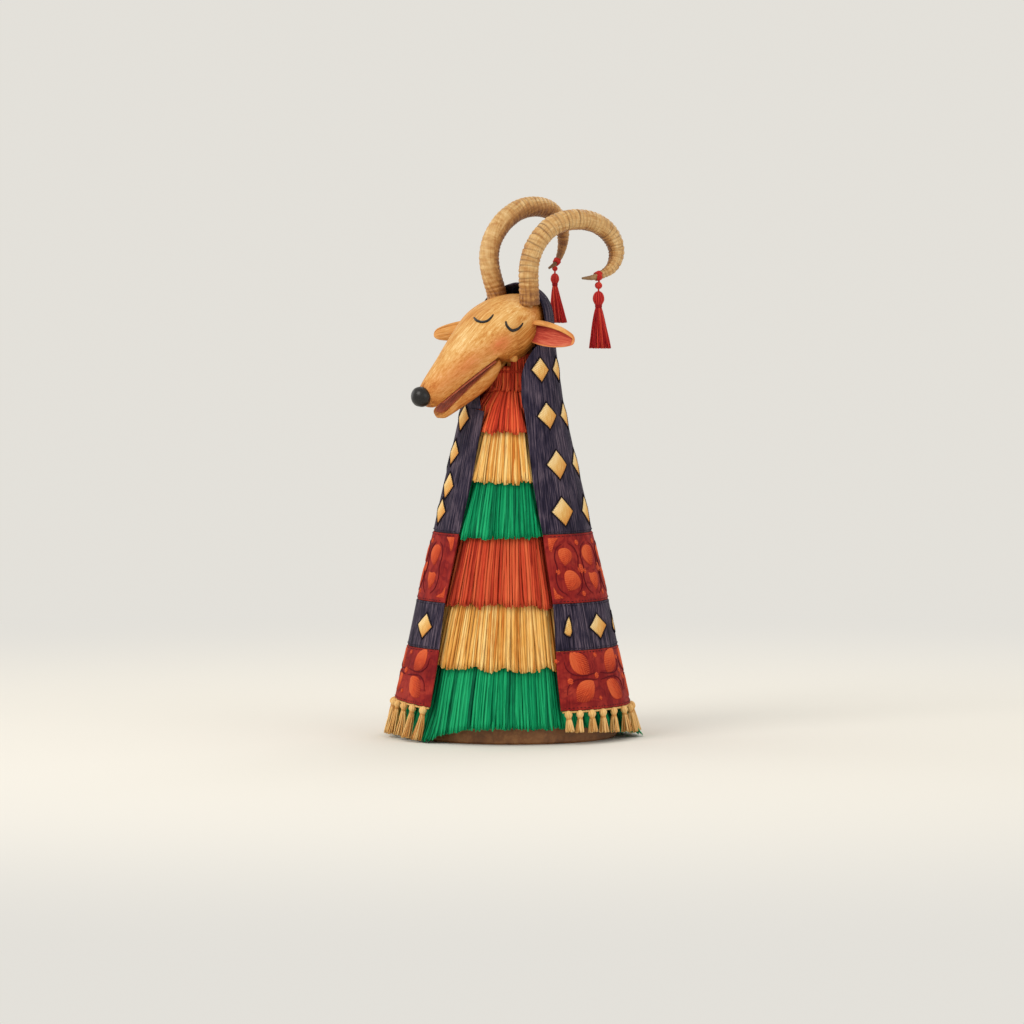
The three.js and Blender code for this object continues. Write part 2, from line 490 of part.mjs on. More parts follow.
// ---------------------------------------------------------------- tassels
// cord eye tied round the horn, knot that swings on it, tassel under the knot
const LEFT_HANG = [-82.8, 48], RIGHT_HANG = [-87, -37];
function hornBand(points, t0, t1, radii, extra, sides = 12) {
  const curve = new THREE.CatmullRomCurve3(points.map((p) => new THREE.Vector3(...p)), false, 'centripetal');
  const frames = curve.computeFrenetFrames(200, false);
  const rAt = (t) => { const q = t * (radii.length - 1), k = Math.min(radii.length - 2, Math.floor(q)); return radii[k] + (radii[k + 1] - radii[k]) * (q - k); };
  const rings = [];
  const S = [[0, t0, 0.35], [1, t0, extra], [2, t1, extra], [3, t1, 0.35]];
  for (let j = 0; j < sides; j++) {
    const a = (j / sides) * Math.PI * 2;
    rings.push(S.map(([, t, e]) => {
      const i = Math.round(t * 200);
      const c = curve.getPointAt(t);
      const r = rAt(t) + e;
      return c.clone().addScaledVector(frames.normals[i], r * Math.cos(a)).addScaledVector(frames.binormals[i], r * Math.sin(a));
    }));
  }
  return skin(rings, true);
}
put(headGroup, 'horn_cord_left', hornBand(HORN_L, 0.905, 0.925, HORN_RADII, 1.6), M.tassel);
put(headGroup, 'horn_cord_right', hornBand(HORN_R, 0.93, 0.95, HORN_RADII, 1.5), M.tassel);
function tasselSet(side, [x, y], zKnot, kR, headZ, headR, neckZ, skirtZ, skirtR) {
  const g = new THREE.Group();
  g.position.set(x, y, 0);
  headGroup.add(g);
  put(g, `tassel_knot_${side}`, at(new THREE.SphereGeometry(kR, 12, 8).rotateX(Math.PI / 2), 0, 0, zKnot), M.tassel);
  put(g, `tassel_head_${side}`, turned([[0, headZ + headR * 1.15], [headR * 0.6, headZ + headR * 0.85], [headR, headZ + headR * 0.1], [headR * 0.85, headZ - headR * 0.65], [3, neckZ + 1.2], [3, neckZ + 0.3], [0, neckZ + 0.3]], 16), M.tassel);
  put(g, `tassel_skirt_${side}`, turned([[0, neckZ], [2.9, neckZ], [skirtR * 0.5, neckZ - (neckZ - skirtZ) * 0.3], [skirtR, skirtZ + 1], [skirtR - 1.4, skirtZ], [0, skirtZ]], 16), M.tassel);
}
tasselSet('left', LEFT_HANG, 499.2, 3.6, 484, 6.9, 475, 430, 10.8);
tasselSet('right', RIGHT_HANG, 514.4, 3, 500.2, 4.9, 493.2, 453, 9);

export default root;
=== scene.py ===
# Looks of the caroling goat figure, built around the imported frame.
# Lengths in the geometry code are millimetres; Acc.build turns them into metres.
import bpy
import math
import numpy as np
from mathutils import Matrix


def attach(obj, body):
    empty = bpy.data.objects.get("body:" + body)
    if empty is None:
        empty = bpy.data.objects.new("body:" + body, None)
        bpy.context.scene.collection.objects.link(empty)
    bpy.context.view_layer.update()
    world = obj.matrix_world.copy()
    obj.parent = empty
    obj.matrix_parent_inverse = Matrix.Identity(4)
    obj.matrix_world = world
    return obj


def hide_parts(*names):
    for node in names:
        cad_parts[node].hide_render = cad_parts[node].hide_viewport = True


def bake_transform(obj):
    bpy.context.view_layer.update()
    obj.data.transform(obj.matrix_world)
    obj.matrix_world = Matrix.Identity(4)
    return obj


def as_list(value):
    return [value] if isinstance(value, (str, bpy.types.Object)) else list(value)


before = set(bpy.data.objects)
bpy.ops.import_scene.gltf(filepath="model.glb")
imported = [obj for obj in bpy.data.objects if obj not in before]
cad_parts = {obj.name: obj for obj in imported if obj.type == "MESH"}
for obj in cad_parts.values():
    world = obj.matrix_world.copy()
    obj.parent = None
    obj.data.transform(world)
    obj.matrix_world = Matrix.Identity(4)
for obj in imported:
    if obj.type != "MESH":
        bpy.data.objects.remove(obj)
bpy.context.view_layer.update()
PI = math.pi
RNG = np.random.default_rng(71)


# ------------------------------------------------------------------ camera
def setup_camera():
    a, e = math.radians(10), math.radians(3)
    right = np.array([math.cos(a), math.sin(a), 0])
    fwd = np.array([-math.sin(a) * math.cos(e), math.cos(a) * math.cos(e), -math.sin(e)])
    up = np.cross(right, fwd)
    data = bpy.data.cameras.new("camera")
    data.lens, data.sensor_width = 200, 36
    data.clip_start, data.clip_end = 0.1, 200
    cam = bpy.data.objects.new("camera", data)
    bpy.context.scene.collection.objects.link(cam)
    target = -right * 0.0008 + up * 0.2475
    cam.location = target - fwd * 6.314
    from mathutils import Vector
    cam.rotation_mode = "QUATERNION"
    cam.rotation_quaternion = Vector(fwd).to_track_quat("-Z", "Y")
    bpy.context.scene.camera = cam


setup_camera()


# --------------------------------------------------------------- materials
def col(r, g, b):
    def lin(c):
        c /= 255.0
        return c / 12.92 if c <= 0.04045 else ((c + 0.055) / 1.055) ** 2.4
    return (lin(r), lin(g), lin(b), 1.0)


class Mat:
    def __init__(self, name, rough=0.8, spec=0.3, sheen=0.0, sheen_rough=0.5, coat=0.0, coat_rough=0.2, metal=0.0, sss=0.0):
        self.m = bpy.data.materials.new(name)
        self.m.use_nodes = True
        self.t = self.m.node_tree
        self.t.nodes.clear()
        self.out = self.t.nodes.new("ShaderNodeOutputMaterial")
        self.b = self.t.nodes.new("ShaderNodeBsdfPrincipled")
        self.t.links.new(self.b.outputs[0], self.out.inputs[0])
        i = self.b.inputs
        i["Roughness"].default_value = rough
        i["Specular IOR Level"].default_value = spec
        i["Sheen Weight"].default_value = sheen
        i["Sheen Roughness"].default_value = sheen_rough
        i["Coat Weight"].default_value = coat
        i["Coat Roughness"].default_value = coat_rough
        i["Metallic"].default_value = metal

    def new(self, kind):
        return self.t.nodes.new(kind)

    def put(self, socket, v):
        if hasattr(v, "is_output"):
            self.t.links.new(v, socket)
        else:
            socket.default_value = v

    def attr(self, name, out="Fac"):
        n = self.new("ShaderNodeAttribute")
        n.attribute_name = name
        return n.outputs[out]

    def coord(self, out="Object"):
        return self.new("ShaderNodeTexCoord").outputs[out]

    def map(self, vec, scale, rot=(0, 0, 0)):
        n = self.new("ShaderNodeMapping")
        self.put(n.inputs["Vector"], vec)
        n.inputs["Scale"].default_value = scale
        n.inputs["Rotation"].default_value = rot
        return n.outputs[0]

    def noise(self, vec, scale=1.0, detail=3.0, rough=0.5, dist=0.0):
        n = self.new("ShaderNodeTexNoise")
        self.put(n.inputs["Vector"], vec)
        n.inputs["Scale"].default_value = scale
        n.inputs["Detail"].default_value = detail
        n.inputs["Roughness"].default_value = rough
        n.inputs["Distortion"].default_value = dist
        return n.outputs[0]

    def voronoi(self, vec, scale=1.0, feature="F1"):
        n = self.new("ShaderNodeTexVoronoi")
        n.feature = feature
        self.put(n.inputs["Vector"], vec)
        n.inputs["Scale"].default_value = scale
        return n.outputs[0]

    def math(self, op, a, b=0.0, clamp=False):
        n = self.new("ShaderNodeMath")
        n.operation = op
        n.use_clamp = clamp
        self.put(n.inputs[0], a)
        self.put(n.inputs[1], b)
        return n.outputs[0]

    def mix(self, f, a, b, blend="MIX"):
        n = self.new("ShaderNodeMix")
        n.data_type = "RGBA"
        n.blend_type = blend
        self.put(n.inputs[0], f)
        self.put(n.inputs[6], a)
        self.put(n.inputs[7], b)
        return n.outputs[2]

    def ramp(self, f, stops, mode="LINEAR"):
        n = self.new("ShaderNodeValToRGB")
        n.color_ramp.interpolation = mode
        e = n.color_ramp.elements
        while len(e) < len(stops):
            e.new(0.5)
        for k, (p, c) in enumerate(stops):
            e[k].position = p
            e[k].color = c if hasattr(c, "__len__") else (c, c, c, 1)
        self.put(n.inputs[0], f)
        return n.outputs[0]

    def xyz(self, vec):
        n = self.new("ShaderNodeSeparateXYZ")
        self.put(n.inputs[0], vec)
        return n.outputs

    def color(self, c):
        self.put(self.b.inputs["Base Color"], c)

    def rough(self, f, lo, hi):
        n = self.new("ShaderNodeMapRange")
        self.put(n.inputs[0], f)
        n.inputs[3].default_value, n.inputs[4].default_value = lo, hi
        self.t.links.new(n.outputs[0], self.b.inputs["Roughness"])

    def bump(self, h, strength=0.4, dist=0.0005, normal=None):
        n = self.new("ShaderNodeBump")
        n.inputs["Strength"].default_value = strength
        n.inputs["Distance"].default_value = dist
        self.put(n.inputs["Height"], h)
        if normal is not None:
            self.put(n.inputs["Normal"], normal)
        self.t.links.new(n.outputs[0], self.b.inputs["Normal"])
        return n.outputs[0]


def strand_mat(name, dark, mid, light, rough=0.7, sheen=0.0, accent=None, spec=0.1):
    m = Mat(name, rough=rough, spec=spec, sheen=sheen)
    pc = m.attr("pc", "Vector")
    rnd = m.attr("rnd")
    slow = m.noise(m.map(pc, (1, 0.03, 0.12)), 1.0, 3, 0.6)
    fine = m.noise(m.map(pc, (3, 0.06, 2.2)), 1.0, 4, 0.7)
    f = m.math("ADD", m.math("MULTIPLY", rnd, 0.72), m.math("MULTIPLY", m.math("SUBTRACT", slow, 0.36), 0.85), True)
    f = m.math("ADD", f, m.math("MULTIPLY", m.math("SUBTRACT", fine, 0.5), 0.35), True)
    c = m.ramp(f, [(0.02, dark), (0.42, mid), (0.95, light)])
    if accent is not None:
        c = m.mix(m.ramp(m.noise(m.map(pc, (1.7, 0.05, 0.4)), 1.3, 3, 0.6), [(0.55, 0.0), (0.75, 0.75)]), c, accent)
    m.color(c)
    m.rough(fine, rough - 0.12, rough + 0.14)
    m.bump(fine, 0.35, 0.0004)
    return m.m


def cloth_mat(name, dark, mid, light, streak=1.0, pitch=1.5, blotch=0.0, accent=None, rough=0.9):
    m = Mat(name, rough=rough, spec=0.08, sheen=0.04, sheen_rough=0.4)
    pc = m.attr("pc", "Vector")
    x, y, _ = m.xyz(pc)
    k = 2 * PI / pitch
    wx = m.math("SINE", m.math("MULTIPLY", x, k))
    wy = m.math("SINE", m.math("MULTIPLY", y, k))
    weave = m.math("MULTIPLY", wx, wy)
    slub = m.noise(m.map(pc, (0.55, 0.022, 1)), 1.0, 4, 0.62)
    slub2 = m.noise(m.map(pc, (1.6, 0.05, 1)), 1.0, 3, 0.6)
    broad = m.noise(m.map(pc, (0.03, 0.03, 1)), 1.0, 3, 0.55, 0.6)
    f = m.math("ADD", m.math("MULTIPLY", m.math("SUBTRACT", slub, 0.5), 1.5 * streak), m.math("MULTIPLY", m.math("SUBTRACT", slub2, 0.5), 1.0 * streak))
    f = m.math("ADD", f, m.math("MULTIPLY", m.math("SUBTRACT", broad, 0.5), 0.6 + blotch))
    f = m.math("ADD", f, m.math("MULTIPLY", weave, 0.07))
    f = m.math("ADD", f, 0.5, True)
    c = m.ramp(f, [(0.12, dark), (0.5, mid), (0.92, light)])
    if accent is not None:
        c = m.mix(m.ramp(m.noise(m.map(pc, (0.055, 0.055, 1)), 1.0, 2, 0.5, 2.2), [(0.5, 0.0), (0.6, 0.55)]), c, accent)
    m.color(c)
    h = m.math("ADD", m.math("MULTIPLY", weave, 0.5), m.math("MULTIPLY", slub2, 1.2))
    m.rough(slub, rough - 0.12, rough + 0.06)
    m.bump(h, 0.55, 0.00035)
    return m.m


def wood_mat(name, dark, mid, light, rough=0.5, ring=0.0, axis=(1, 1, 0.06), scale=90.0):
    m = Mat(name, rough=rough, spec=0.35, coat=0.08, coat_rough=0.4)
    o = m.coord("Object")
    g = m.noise(m.map(o, axis), scale, 5, 0.62, 0.7)
    g2 = m.noise(m.map(o, axis), scale * 4.3, 3, 0.6)
    f = m.math("ADD", m.math("MULTIPLY", g, 0.8), m.math("MULTIPLY", g2, 0.25), True)
    m.color(m.ramp(f, [(0.25, dark), (0.52, mid), (0.78, light)]))
    m.rough(g2, rough - 0.1, rough + 0.15)
    m.bump(g2, 0.25, 0.0004)
    return m.m


M = {}
M["red"] = strand_mat("raffia_red", col(146, 32, 24), col(216, 74, 46), col(240, 116, 68))
M["cream"] = strand_mat("raffia_cream", col(196, 112, 40), col(236, 174, 86), col(252, 218, 144), accent=col(206, 112, 38))
M["green"] = strand_mat("raffia_green", col(0, 80, 54), col(4, 144, 90), col(36, 182, 118))
M["orange"] = strand_mat("raffia_orange", col(134, 32, 22), col(200, 68, 42), col(228, 108, 66))
M["straw"] = strand_mat("bound_straw", col(120, 84, 40), col(194, 152, 88), col(226, 196, 132))
M["twine"] = strand_mat("twine", col(98, 72, 40), col(160, 124, 74), col(204, 172, 118))
M["tassel"] = strand_mat("tassel_red", col(112, 12, 22), col(184, 38, 40), col(222, 88, 62), rough=0.66)
M["hem"] = strand_mat("hem_cream", col(176, 108, 48), col(224, 172, 102), col(244, 208, 146))
M["navy"] = cloth_mat("cloth_navy", col(16, 13, 25), col(44, 39, 58), col(118, 102, 114), streak=1.2)
M["crimson"] = cloth_mat("cloth_crimson", col(92, 16, 20), col(148, 40, 36), col(178, 66, 50), streak=0.45, blotch=0.6, accent=col(104, 18, 28))
M["thread_dark"] = strand_mat("thread_dark", col(16, 12, 20), col(30, 24, 34), col(54, 46, 58), rough=0.8)


M["thread_wine"] = strand_mat("thread_wine", col(70, 10, 18), col(98, 18, 28), col(128, 34, 38), rough=0.8)


def felt_patch(name, dark, mid, light, vein, vein_gain=0.55, k=0.42):
    m = Mat(name, rough=0.86, spec=0.08)
    pc = m.attr("pc", "Vector")
    x, y, _ = m.xyz(pc)
    thread = m.math("SINE", m.math("ADD", m.math("MULTIPLY", m.math("ABSOLUTE", x), 2 * PI * k * 0.55), m.math("MULTIPLY", y, 2 * PI * k)))
    grain = m.noise(m.map(pc, (0.5, 0.12, 1)), 1.0, 3, 0.6)
    # painted light: each patch is lighter toward its upper left and darker toward its lower right
    grad = m.math("MULTIPLY", m.math("SUBTRACT", y, x), 0.022)
    f = m.math("ADD", m.math("ADD", grain, grad), 0.0, True)
    c = m.ramp(f, [(0.2, dark), (0.5, mid), (0.8, light)])
    if vein is not None:
        c = m.mix(m.ramp(m.math("ADD", m.math("MULTIPLY", thread, 0.5), 0.5), [(0.62, 0.0), (0.95, vein_gain)]), c, vein)
    m.color(c)
    m.bump(m.math("ADD", m.math("MULTIPLY", thread, 0.5), grain), 0.5, 0.0004)
    m.rough(grain, 0.7, 0.92)
    return m.m


M["diamond"] = felt_patch("patch_cream", col(214, 146, 72), col(232, 186, 110), col(247, 219, 160), col(196, 124, 60), 0.45)
M["leaf"] = felt_patch("patch_leaf", col(150, 36, 24), col(192, 66, 36), col(212, 92, 52), col(226, 122, 76), 0.4)


def head_material():
    m = Mat("carved_wood", rough=0.58, spec=0.2, coat=0.04, coat_rough=0.45)
    pc = m.attr("pc", "Vector")
    streak = m.noise(m.map(pc, (0.016, 0.42, 0.42)), 1.0, 5, 0.68, 0.35)
    hair = m.noise(m.map(pc, (0.03, 1.5, 1.5)), 1.0, 4, 0.7)
    broad = m.noise(m.map(pc, (0.02, 0.03, 0.03)), 1.0, 2, 0.5)
    f = m.math("ADD", m.math("MULTIPLY", m.math("SUBTRACT", streak, 0.5), 1.5), m.math("MULTIPLY", m.math("SUBTRACT", hair, 0.5), 0.8))
    f = m.math("ADD", f, m.math("MULTIPLY", m.math("SUBTRACT", broad, 0.5), 0.5))
    # painted light and shade: the per-point shading attribute darkens the wood under the head and in its hollows and
    # lightens its top
    f = m.math("ADD", f, m.math("MULTIPLY", m.attr("shade"), -0.42))
    f = m.math("ADD", f, 0.58, True)
    c = m.ramp(f, [(0.02, col(132, 70, 24)), (0.3, col(188, 114, 44)), (0.56, col(212, 152, 78)), (0.82, col(230, 184, 116)), (1.0, col(246, 214, 158))])
    c = m.mix(m.math("MULTIPLY", m.attr("blush"), m.ramp(streak, [(0.3, 0.25), (0.62, 1.0)])), c, col(222, 104, 62))
    m.color(c)
    m.rough(streak, 0.42, 0.66)
    m.bump(m.math("ADD", m.math("MULTIPLY", streak, 1.0), m.math("MULTIPLY", hair, 0.5)), 0.45, 0.0007)
    return m.m


M["head"] = head_material()


def horn_material():
    m = Mat("horn", rough=0.5, spec=0.35, coat=0.06, coat_rough=0.4)
    pc = m.attr("pc", "Vector")
    ring = m.attr("ring")
    tip = m.attr("tip")
    lat = m.noise(m.map(pc, (0.2, 0.05, 0.05)), 1.0, 4, 0.6, 0.6)
    grain = m.noise(m.map(pc, (0.03, 0.3, 0.3)), 1.0, 4, 0.65, 1.2)
    f = m.math("ADD", m.math("MULTIPLY", m.math("SUBTRACT", lat, 0.5), 0.9), m.math("MULTIPLY", m.math("SUBTRACT", grain, 0.5), 1.1))
    # painted shade: the per-point shading attribute darkens the horn at its base and on the inner side of its bend
    f = m.math("ADD", f, m.math("MULTIPLY", m.attr("shade"), -0.62))
    f = m.math("ADD", f, 0.6, True)
    c = m.ramp(f, [(0.05, col(120, 72, 32)), (0.38, col(180, 126, 66)), (0.66, col(210, 168, 108)), (1.0, col(238, 208, 158))])
    # dark rings: partly the horn's own ring colour, partly painted shade in each groove that fades out along one side
    c = m.mix(m.math("MULTIPLY", ring, m.ramp(grain, [(0.3, 0.5), (0.7, 0.95)])), c, col(86, 50, 26))
    c = m.mix(tip, c, col(96, 66, 46))
    m.color(c)
    m.rough(lat, 0.4, 0.62)
    m.bump(m.math("ADD", grain, lat), 0.35, 0.0006)
    return m.m


M["horn"] = horn_material()


def ear_material():
    m = Mat("ear_felt", rough=0.8, spec=0.12)
    pc = m.attr("pc", "Vector")
    s = m.noise(m.map(pc, (0.06, 0.7, 0.7)), 1.0, 4, 0.65, 0.3)
    # painted shade: the per-point shading attribute darkens the felt at the root, where the edge rolls over and in the
    # crease
    f = m.math("ADD", s, m.math("MULTIPLY", m.attr("shade"), -0.35), True)
    m.color(m.mix(m.attr("blush"), m.ramp(f, [(0.2, col(166, 100, 46)), (0.5, col(218, 158, 88)), (0.8, col(240, 200, 140))]), col(226, 116, 78)))
    m.rough(s, 0.65, 0.85)
    m.bump(s, 0.4, 0.0005)
    return m.m


def pink_material():
    m = Mat("ear_pink", rough=0.85, spec=0.1)
    pc = m.attr("pc", "Vector")
    s = m.noise(m.map(pc, (0.07, 0.9, 0.9)), 1.0, 4, 0.65, 0.3)
    # painted light and shade: the per-point shading attribute darkens the lining at the root and toward the rolled edge
    # and lightens the far side
    f = m.math("ADD", s, m.math("MULTIPLY", m.attr("shade"), -0.4), True)
    m.color(m.ramp(f, [(0.15, col(132, 38, 34)), (0.45, col(192, 78, 62)), (0.8, col(228, 136, 102))]))
    m.rough(s, 0.7, 0.9)
    m.bump(s, 0.5, 0.0005)
    return m.m


def mouth_material():
    m = Mat("mouth_felt", rough=0.85, spec=0.2, sheen=0.2)
    pc = m.attr("pc", "Vector")
    s = m.noise(m.map(pc, (0.08, 0.5, 0.5)), 1.0, 4, 0.65, 0.3)
    m.color(m.ramp(s, [(0.25, col(128, 50, 36)), (0.5, col(178, 88, 58)), (0.78, col(208, 122, 80))]))
    m.rough(s, 0.75, 0.95)
    m.bump(s, 0.5, 0.0005)
    return m.m


def black_material():
    m = Mat("black_paint", rough=0.42, spec=0.3, coat=0.22, coat_rough=0.2)
    o = m.coord("Object")
    s = m.noise(o, 260.0, 4, 0.6)
    m.color(m.ramp(s, [(0.3, col(8, 7, 7)), (0.6, col(22, 19, 18)), (0.85, col(46, 40, 36))]))
    m.rough(s, 0.26, 0.5)
    m.bump(s, 0.35, 0.0004)
    return m.m


def steel_material():
    m = Mat("steel", rough=0.32, spec=0.5, metal=0.9)
    o = m.coord("Object")
    s = m.noise(m.map(o, (1, 1, 30)), 60.0, 3, 0.6)
    m.color(m.ramp(s, [(0.3, col(120, 122, 126)), (0.7, col(168, 170, 172))]))
    m.rough(s, 0.24, 0.45)
    m.bump(s, 0.1, 0.0002)
    return m.m


M["ear"], M["pink"], M["mouth"], M["black"], M["steel"] = ear_material(), pink_material(), mouth_material(), black_material(), steel_material()
M["basewood"] = wood_mat("base_wood", col(74, 42, 20), col(132, 84, 46), col(170, 118, 70), 0.5, axis=(1, 0.08, 1), scale=70.0)
M["dowel"] = wood_mat("dowel_wood", col(140, 96, 54), col(186, 140, 88), col(214, 174, 122), 0.6)


# ------------------------------------------------------------ mesh helpers
class Acc:
    """Collects closed pieces into one mesh, with their point attributes."""

    def __init__(self):
        self.v, self.q, self.t, self.n = [], [], [], 0
        self.a = {}

    def add(self, v, quads=None, tris=None, **attrs):
        v = np.asarray(v, float).reshape(-1, 3)
        if quads is not None and len(quads):
            self.q.append(np.asarray(quads, int) + self.n)
        if tris is not None and len(tris):
            self.t.append(np.asarray(tris, int) + self.n)
        for k, val in attrs.items():
            self.a.setdefault(k, []).append((self.n, len(v), np.asarray(val, float)))
        self.v.append(v)
        self.n += len(v)

    def build(self, name, mat, smooth=True):
        v = np.concatenate(self.v)
        faces = []
        if self.q:
            faces += np.concatenate(self.q).tolist()
        if self.t:
            faces += np.concatenate(self.t).tolist()
        me = bpy.data.meshes.new(name)
        me.from_pydata((v * 0.001).tolist(), [], faces)
        for k in set(list(self.a) + ["rnd", "pc"]):
            vec = k == "pc"
            arr = np.zeros((self.n, 3) if vec else self.n)
            for start, count, val in self.a.get(k, []):
                arr[start:start + count] = val
            at = me.attributes.new(k, "FLOAT_VECTOR" if vec else "FLOAT", "POINT")
            at.data.foreach_set("vector" if vec else "value", arr.astype(np.float32).ravel())
        me.materials.append(mat)
        me.polygons.foreach_set("use_smooth", [smooth] * len(me.polygons))
        me.update()
        ob = bpy.data.objects.new(name, me)
        bpy.context.scene.collection.objects.link(ob)
        return ob


def done(ob, body, slot, *nodes):
    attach(ob, body)
    if nodes:
        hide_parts(*nodes)
    return ob


def grid_quads(nr, nc, wrap=False, off=0, flip=False):
    i = np.arange(nr - 1)[:, None]
    j = np.arange(nc if wrap else nc - 1)[None, :]
    a = i * nc + j
    b = i * nc + (j + 1) % nc
    q = np.stack([a, b, b + nc, a + nc], -1).reshape(-1, 4) + off
    return q[:, ::-1] if flip else q


def loops(acc, rings, closed=False, **attrs):
    """Skin over an array of rings [n, m, 3]; ends are capped by a fan unless closed."""
    n, m = rings.shape[:2]
    v = rings.reshape(-1, 3)
    q = grid_quads(n, m, wrap=True)
    if closed:
        j = np.arange(m)
        k = (j + 1) % m
        q = np.concatenate([q, np.stack([(n - 1) * m + j, (n - 1) * m + k, k, j], -1)])
        acc.add(v, q, **attrs)
        return
    c0, c1 = rings[0].mean(0), rings[-1].mean(0)
    v = np.concatenate([v, [c0, c1]])
    j = np.arange(m)
    k = (j + 1) % m
    t = np.concatenate([np.stack([k, j, np.full(m, n * m)], -1), np.stack([(n - 1) * m + j, (n - 1) * m + k, np.full(m, n * m + 1)], -1)])
    out = {}
    for key, val in attrs.items():
        val = np.asarray(val, float)
        if val.ndim == 0:
            out[key] = val
        else:
            flat = val.reshape(n * m, -1)
            out[key] = np.concatenate([flat, [flat[:m].mean(0), flat[-m:].mean(0)]])
            if val.ndim == 2:
                out[key] = out[key][:, 0]
    acc.add(v, q, t, **out)


def pchip(x, y, q):
    x, y, q = np.asarray(x, float), np.asarray(y, float), np.asarray(q, float)
    h, d = np.diff(x), np.diff(y) / np.diff(x)
    m = np.zeros(len(x))
    same = d[:-1] * d[1:] > 0
    w1, w2 = 2 * h[1:] + h[:-1], h[1:] + 2 * h[:-1]
    with np.errstate(divide="ignore", invalid="ignore"):
        hm = (w1 + w2) / (w1 / d[:-1] + w2 / d[1:])
    m[1:-1] = np.where(same, hm, 0)
    m[0], m[-1] = d[0], d[-1]
    k = np.clip(np.searchsorted(x, q) - 1, 0, len(x) - 2)
    t = np.clip((q - x[k]) / h[k], 0, 1)
    a, b = y[k], y[k + 1]
    return (2 * t**3 - 3 * t**2 + 1) * a + (t**3 - 2 * t**2 + t) * h[k] * m[k] + (-2 * t**3 + 3 * t**2) * b + (t**3 - t**2) * h[k] * m[k + 1]


def catmull(points, n):
    """n+1 points evenly spaced along a centripetal Catmull-Rom curve."""
    P = np.asarray(points, float)
    P = np.concatenate([[2 * P[0] - P[1]], P, [2 * P[-1] - P[-2]]])
    out = []
    for i in range(1, len(P) - 2):
        p0, p1, p2, p3 = P[i - 1:i + 3]
        t = np.linspace(0, 1, 40, endpoint=False)[:, None]
        d = [max(1e-6, np.linalg.norm(b - a) ** 0.5) for a, b in ((p0, p1), (p1, p2), (p2, p3))]
        m1 = (p1 - p0) / d[0] - (p2 - p0) / (d[0] + d[1]) + (p2 - p1) / d[1]
        m2 = (p2 - p1) / d[1] - (p3 - p1) / (d[1] + d[2]) + (p3 - p2) / d[2]
        m1, m2 = m1 * d[1], m2 * d[1]
        out.append((2 * t**3 - 3 * t**2 + 1) * p1 + (t**3 - 2 * t**2 + t) * m1 + (-2 * t**3 + 3 * t**2) * p2 + (t**3 - t**2) * m2)
    c = np.concatenate(out + [P[-2][None]])
    L = np.concatenate([[0], np.cumsum(np.linalg.norm(np.diff(c, axis=0), axis=1))])
    s = np.linspace(0, L[-1], n + 1)
    return np.stack([np.interp(s, L, c[:, k]) for k in range(3)], -1), s


def frames(c, up=(0, 0, 1)):
    """Two unit normals along a curve, carried without twist."""
    t = np.gradient(c, axis=0)
    t /= np.linalg.norm(t, axis=1)[:, None]
    n = np.array(up, float)
    if abs(n @ t[0]) > 0.9:
        n = np.array([1.0, 0, 0])
    N = np.zeros_like(c)
    for i in range(len(c)):
        n = n - (n @ t[i]) * t[i]
        n /= np.linalg.norm(n)
        N[i] = n
    return N, np.cross(t, N), t


def tube(acc, c, r, sides=8, closed=False, rnd=0.5, idx=0.0, up=(0, 0, 1)):
    c = np.asarray(c, float)
    if closed:
        t = np.roll(c, -1, 0) - np.roll(c, 1, 0)
        t /= np.linalg.norm(t, axis=1)[:, None]
        N = np.tile(np.array(up, float), (len(c), 1))
        N -= (N * t).sum(1)[:, None] * t
        N /= np.linalg.norm(N, axis=1)[:, None]
        B = np.cross(t, N)
    else:
        N, B, t = frames(c, up)
    r = np.broadcast_to(np.asarray(r, float), (len(c),))
    a = np.linspace(0, 2 * PI, sides, endpoint=False)
    rings = c[:, None] + r[:, None, None] * (np.cos(a)[None, :, None] * N[:, None] + np.sin(a)[None, :, None] * B[:, None])
    s = np.concatenate([[0], np.cumsum(np.linalg.norm(np.diff(c, axis=0), axis=1))])
    pc = np.zeros(rings.shape)
    pc[..., 0] = idx
    pc[..., 1] = s[:, None]
    pc[..., 2] = a[None] * r.max()
    if closed:
        loops(acc, rings, True, rnd=np.full(rings.shape[0] * rings.shape[1], rnd), pc=pc.reshape(-1, 3))
    else:
        loops(acc, rings, False, rnd=np.full(rings.shape[:2], rnd), pc=pc)


def rope(acc, c, r, closed=False, plies=2, pitch=5.0, sides=6, up=(0, 0, 1), rnd=0.5):
    """A laid cord: plies wound round the line c."""
    c = np.asarray(c, float)
    if closed:
        t = np.roll(c, -1, 0) - np.roll(c, 1, 0)
        t /= np.linalg.norm(t, axis=1)[:, None]
        N = np.tile(np.array(up, float), (len(c), 1))
        N -= (N * t).sum(1)[:, None] * t
        N /= np.linalg.norm(N, axis=1)[:, None]
        B = np.cross(t, N)
        L = np.linalg.norm(np.roll(c, -1, 0) - c, axis=1).sum()
        turns = max(1, round(L / pitch))
        ph = np.arange(len(c)) / len(c) * turns * 2 * PI
    else:
        N, B, t = frames(c, up)
        s = np.concatenate([[0], np.cumsum(np.linalg.norm(np.diff(c, axis=0), axis=1))])
        ph = s / pitch * 2 * PI
    for k in range(plies):
        a = ph + 2 * PI * k / plies
        line = c + 0.5 * r * (np.cos(a)[:, None] * N + np.sin(a)[:, None] * B)
        tube(acc, line, r * 0.58, sides, closed, rnd=rnd + 0.25 * (k - 0.5), idx=k * 9.1, up=up)


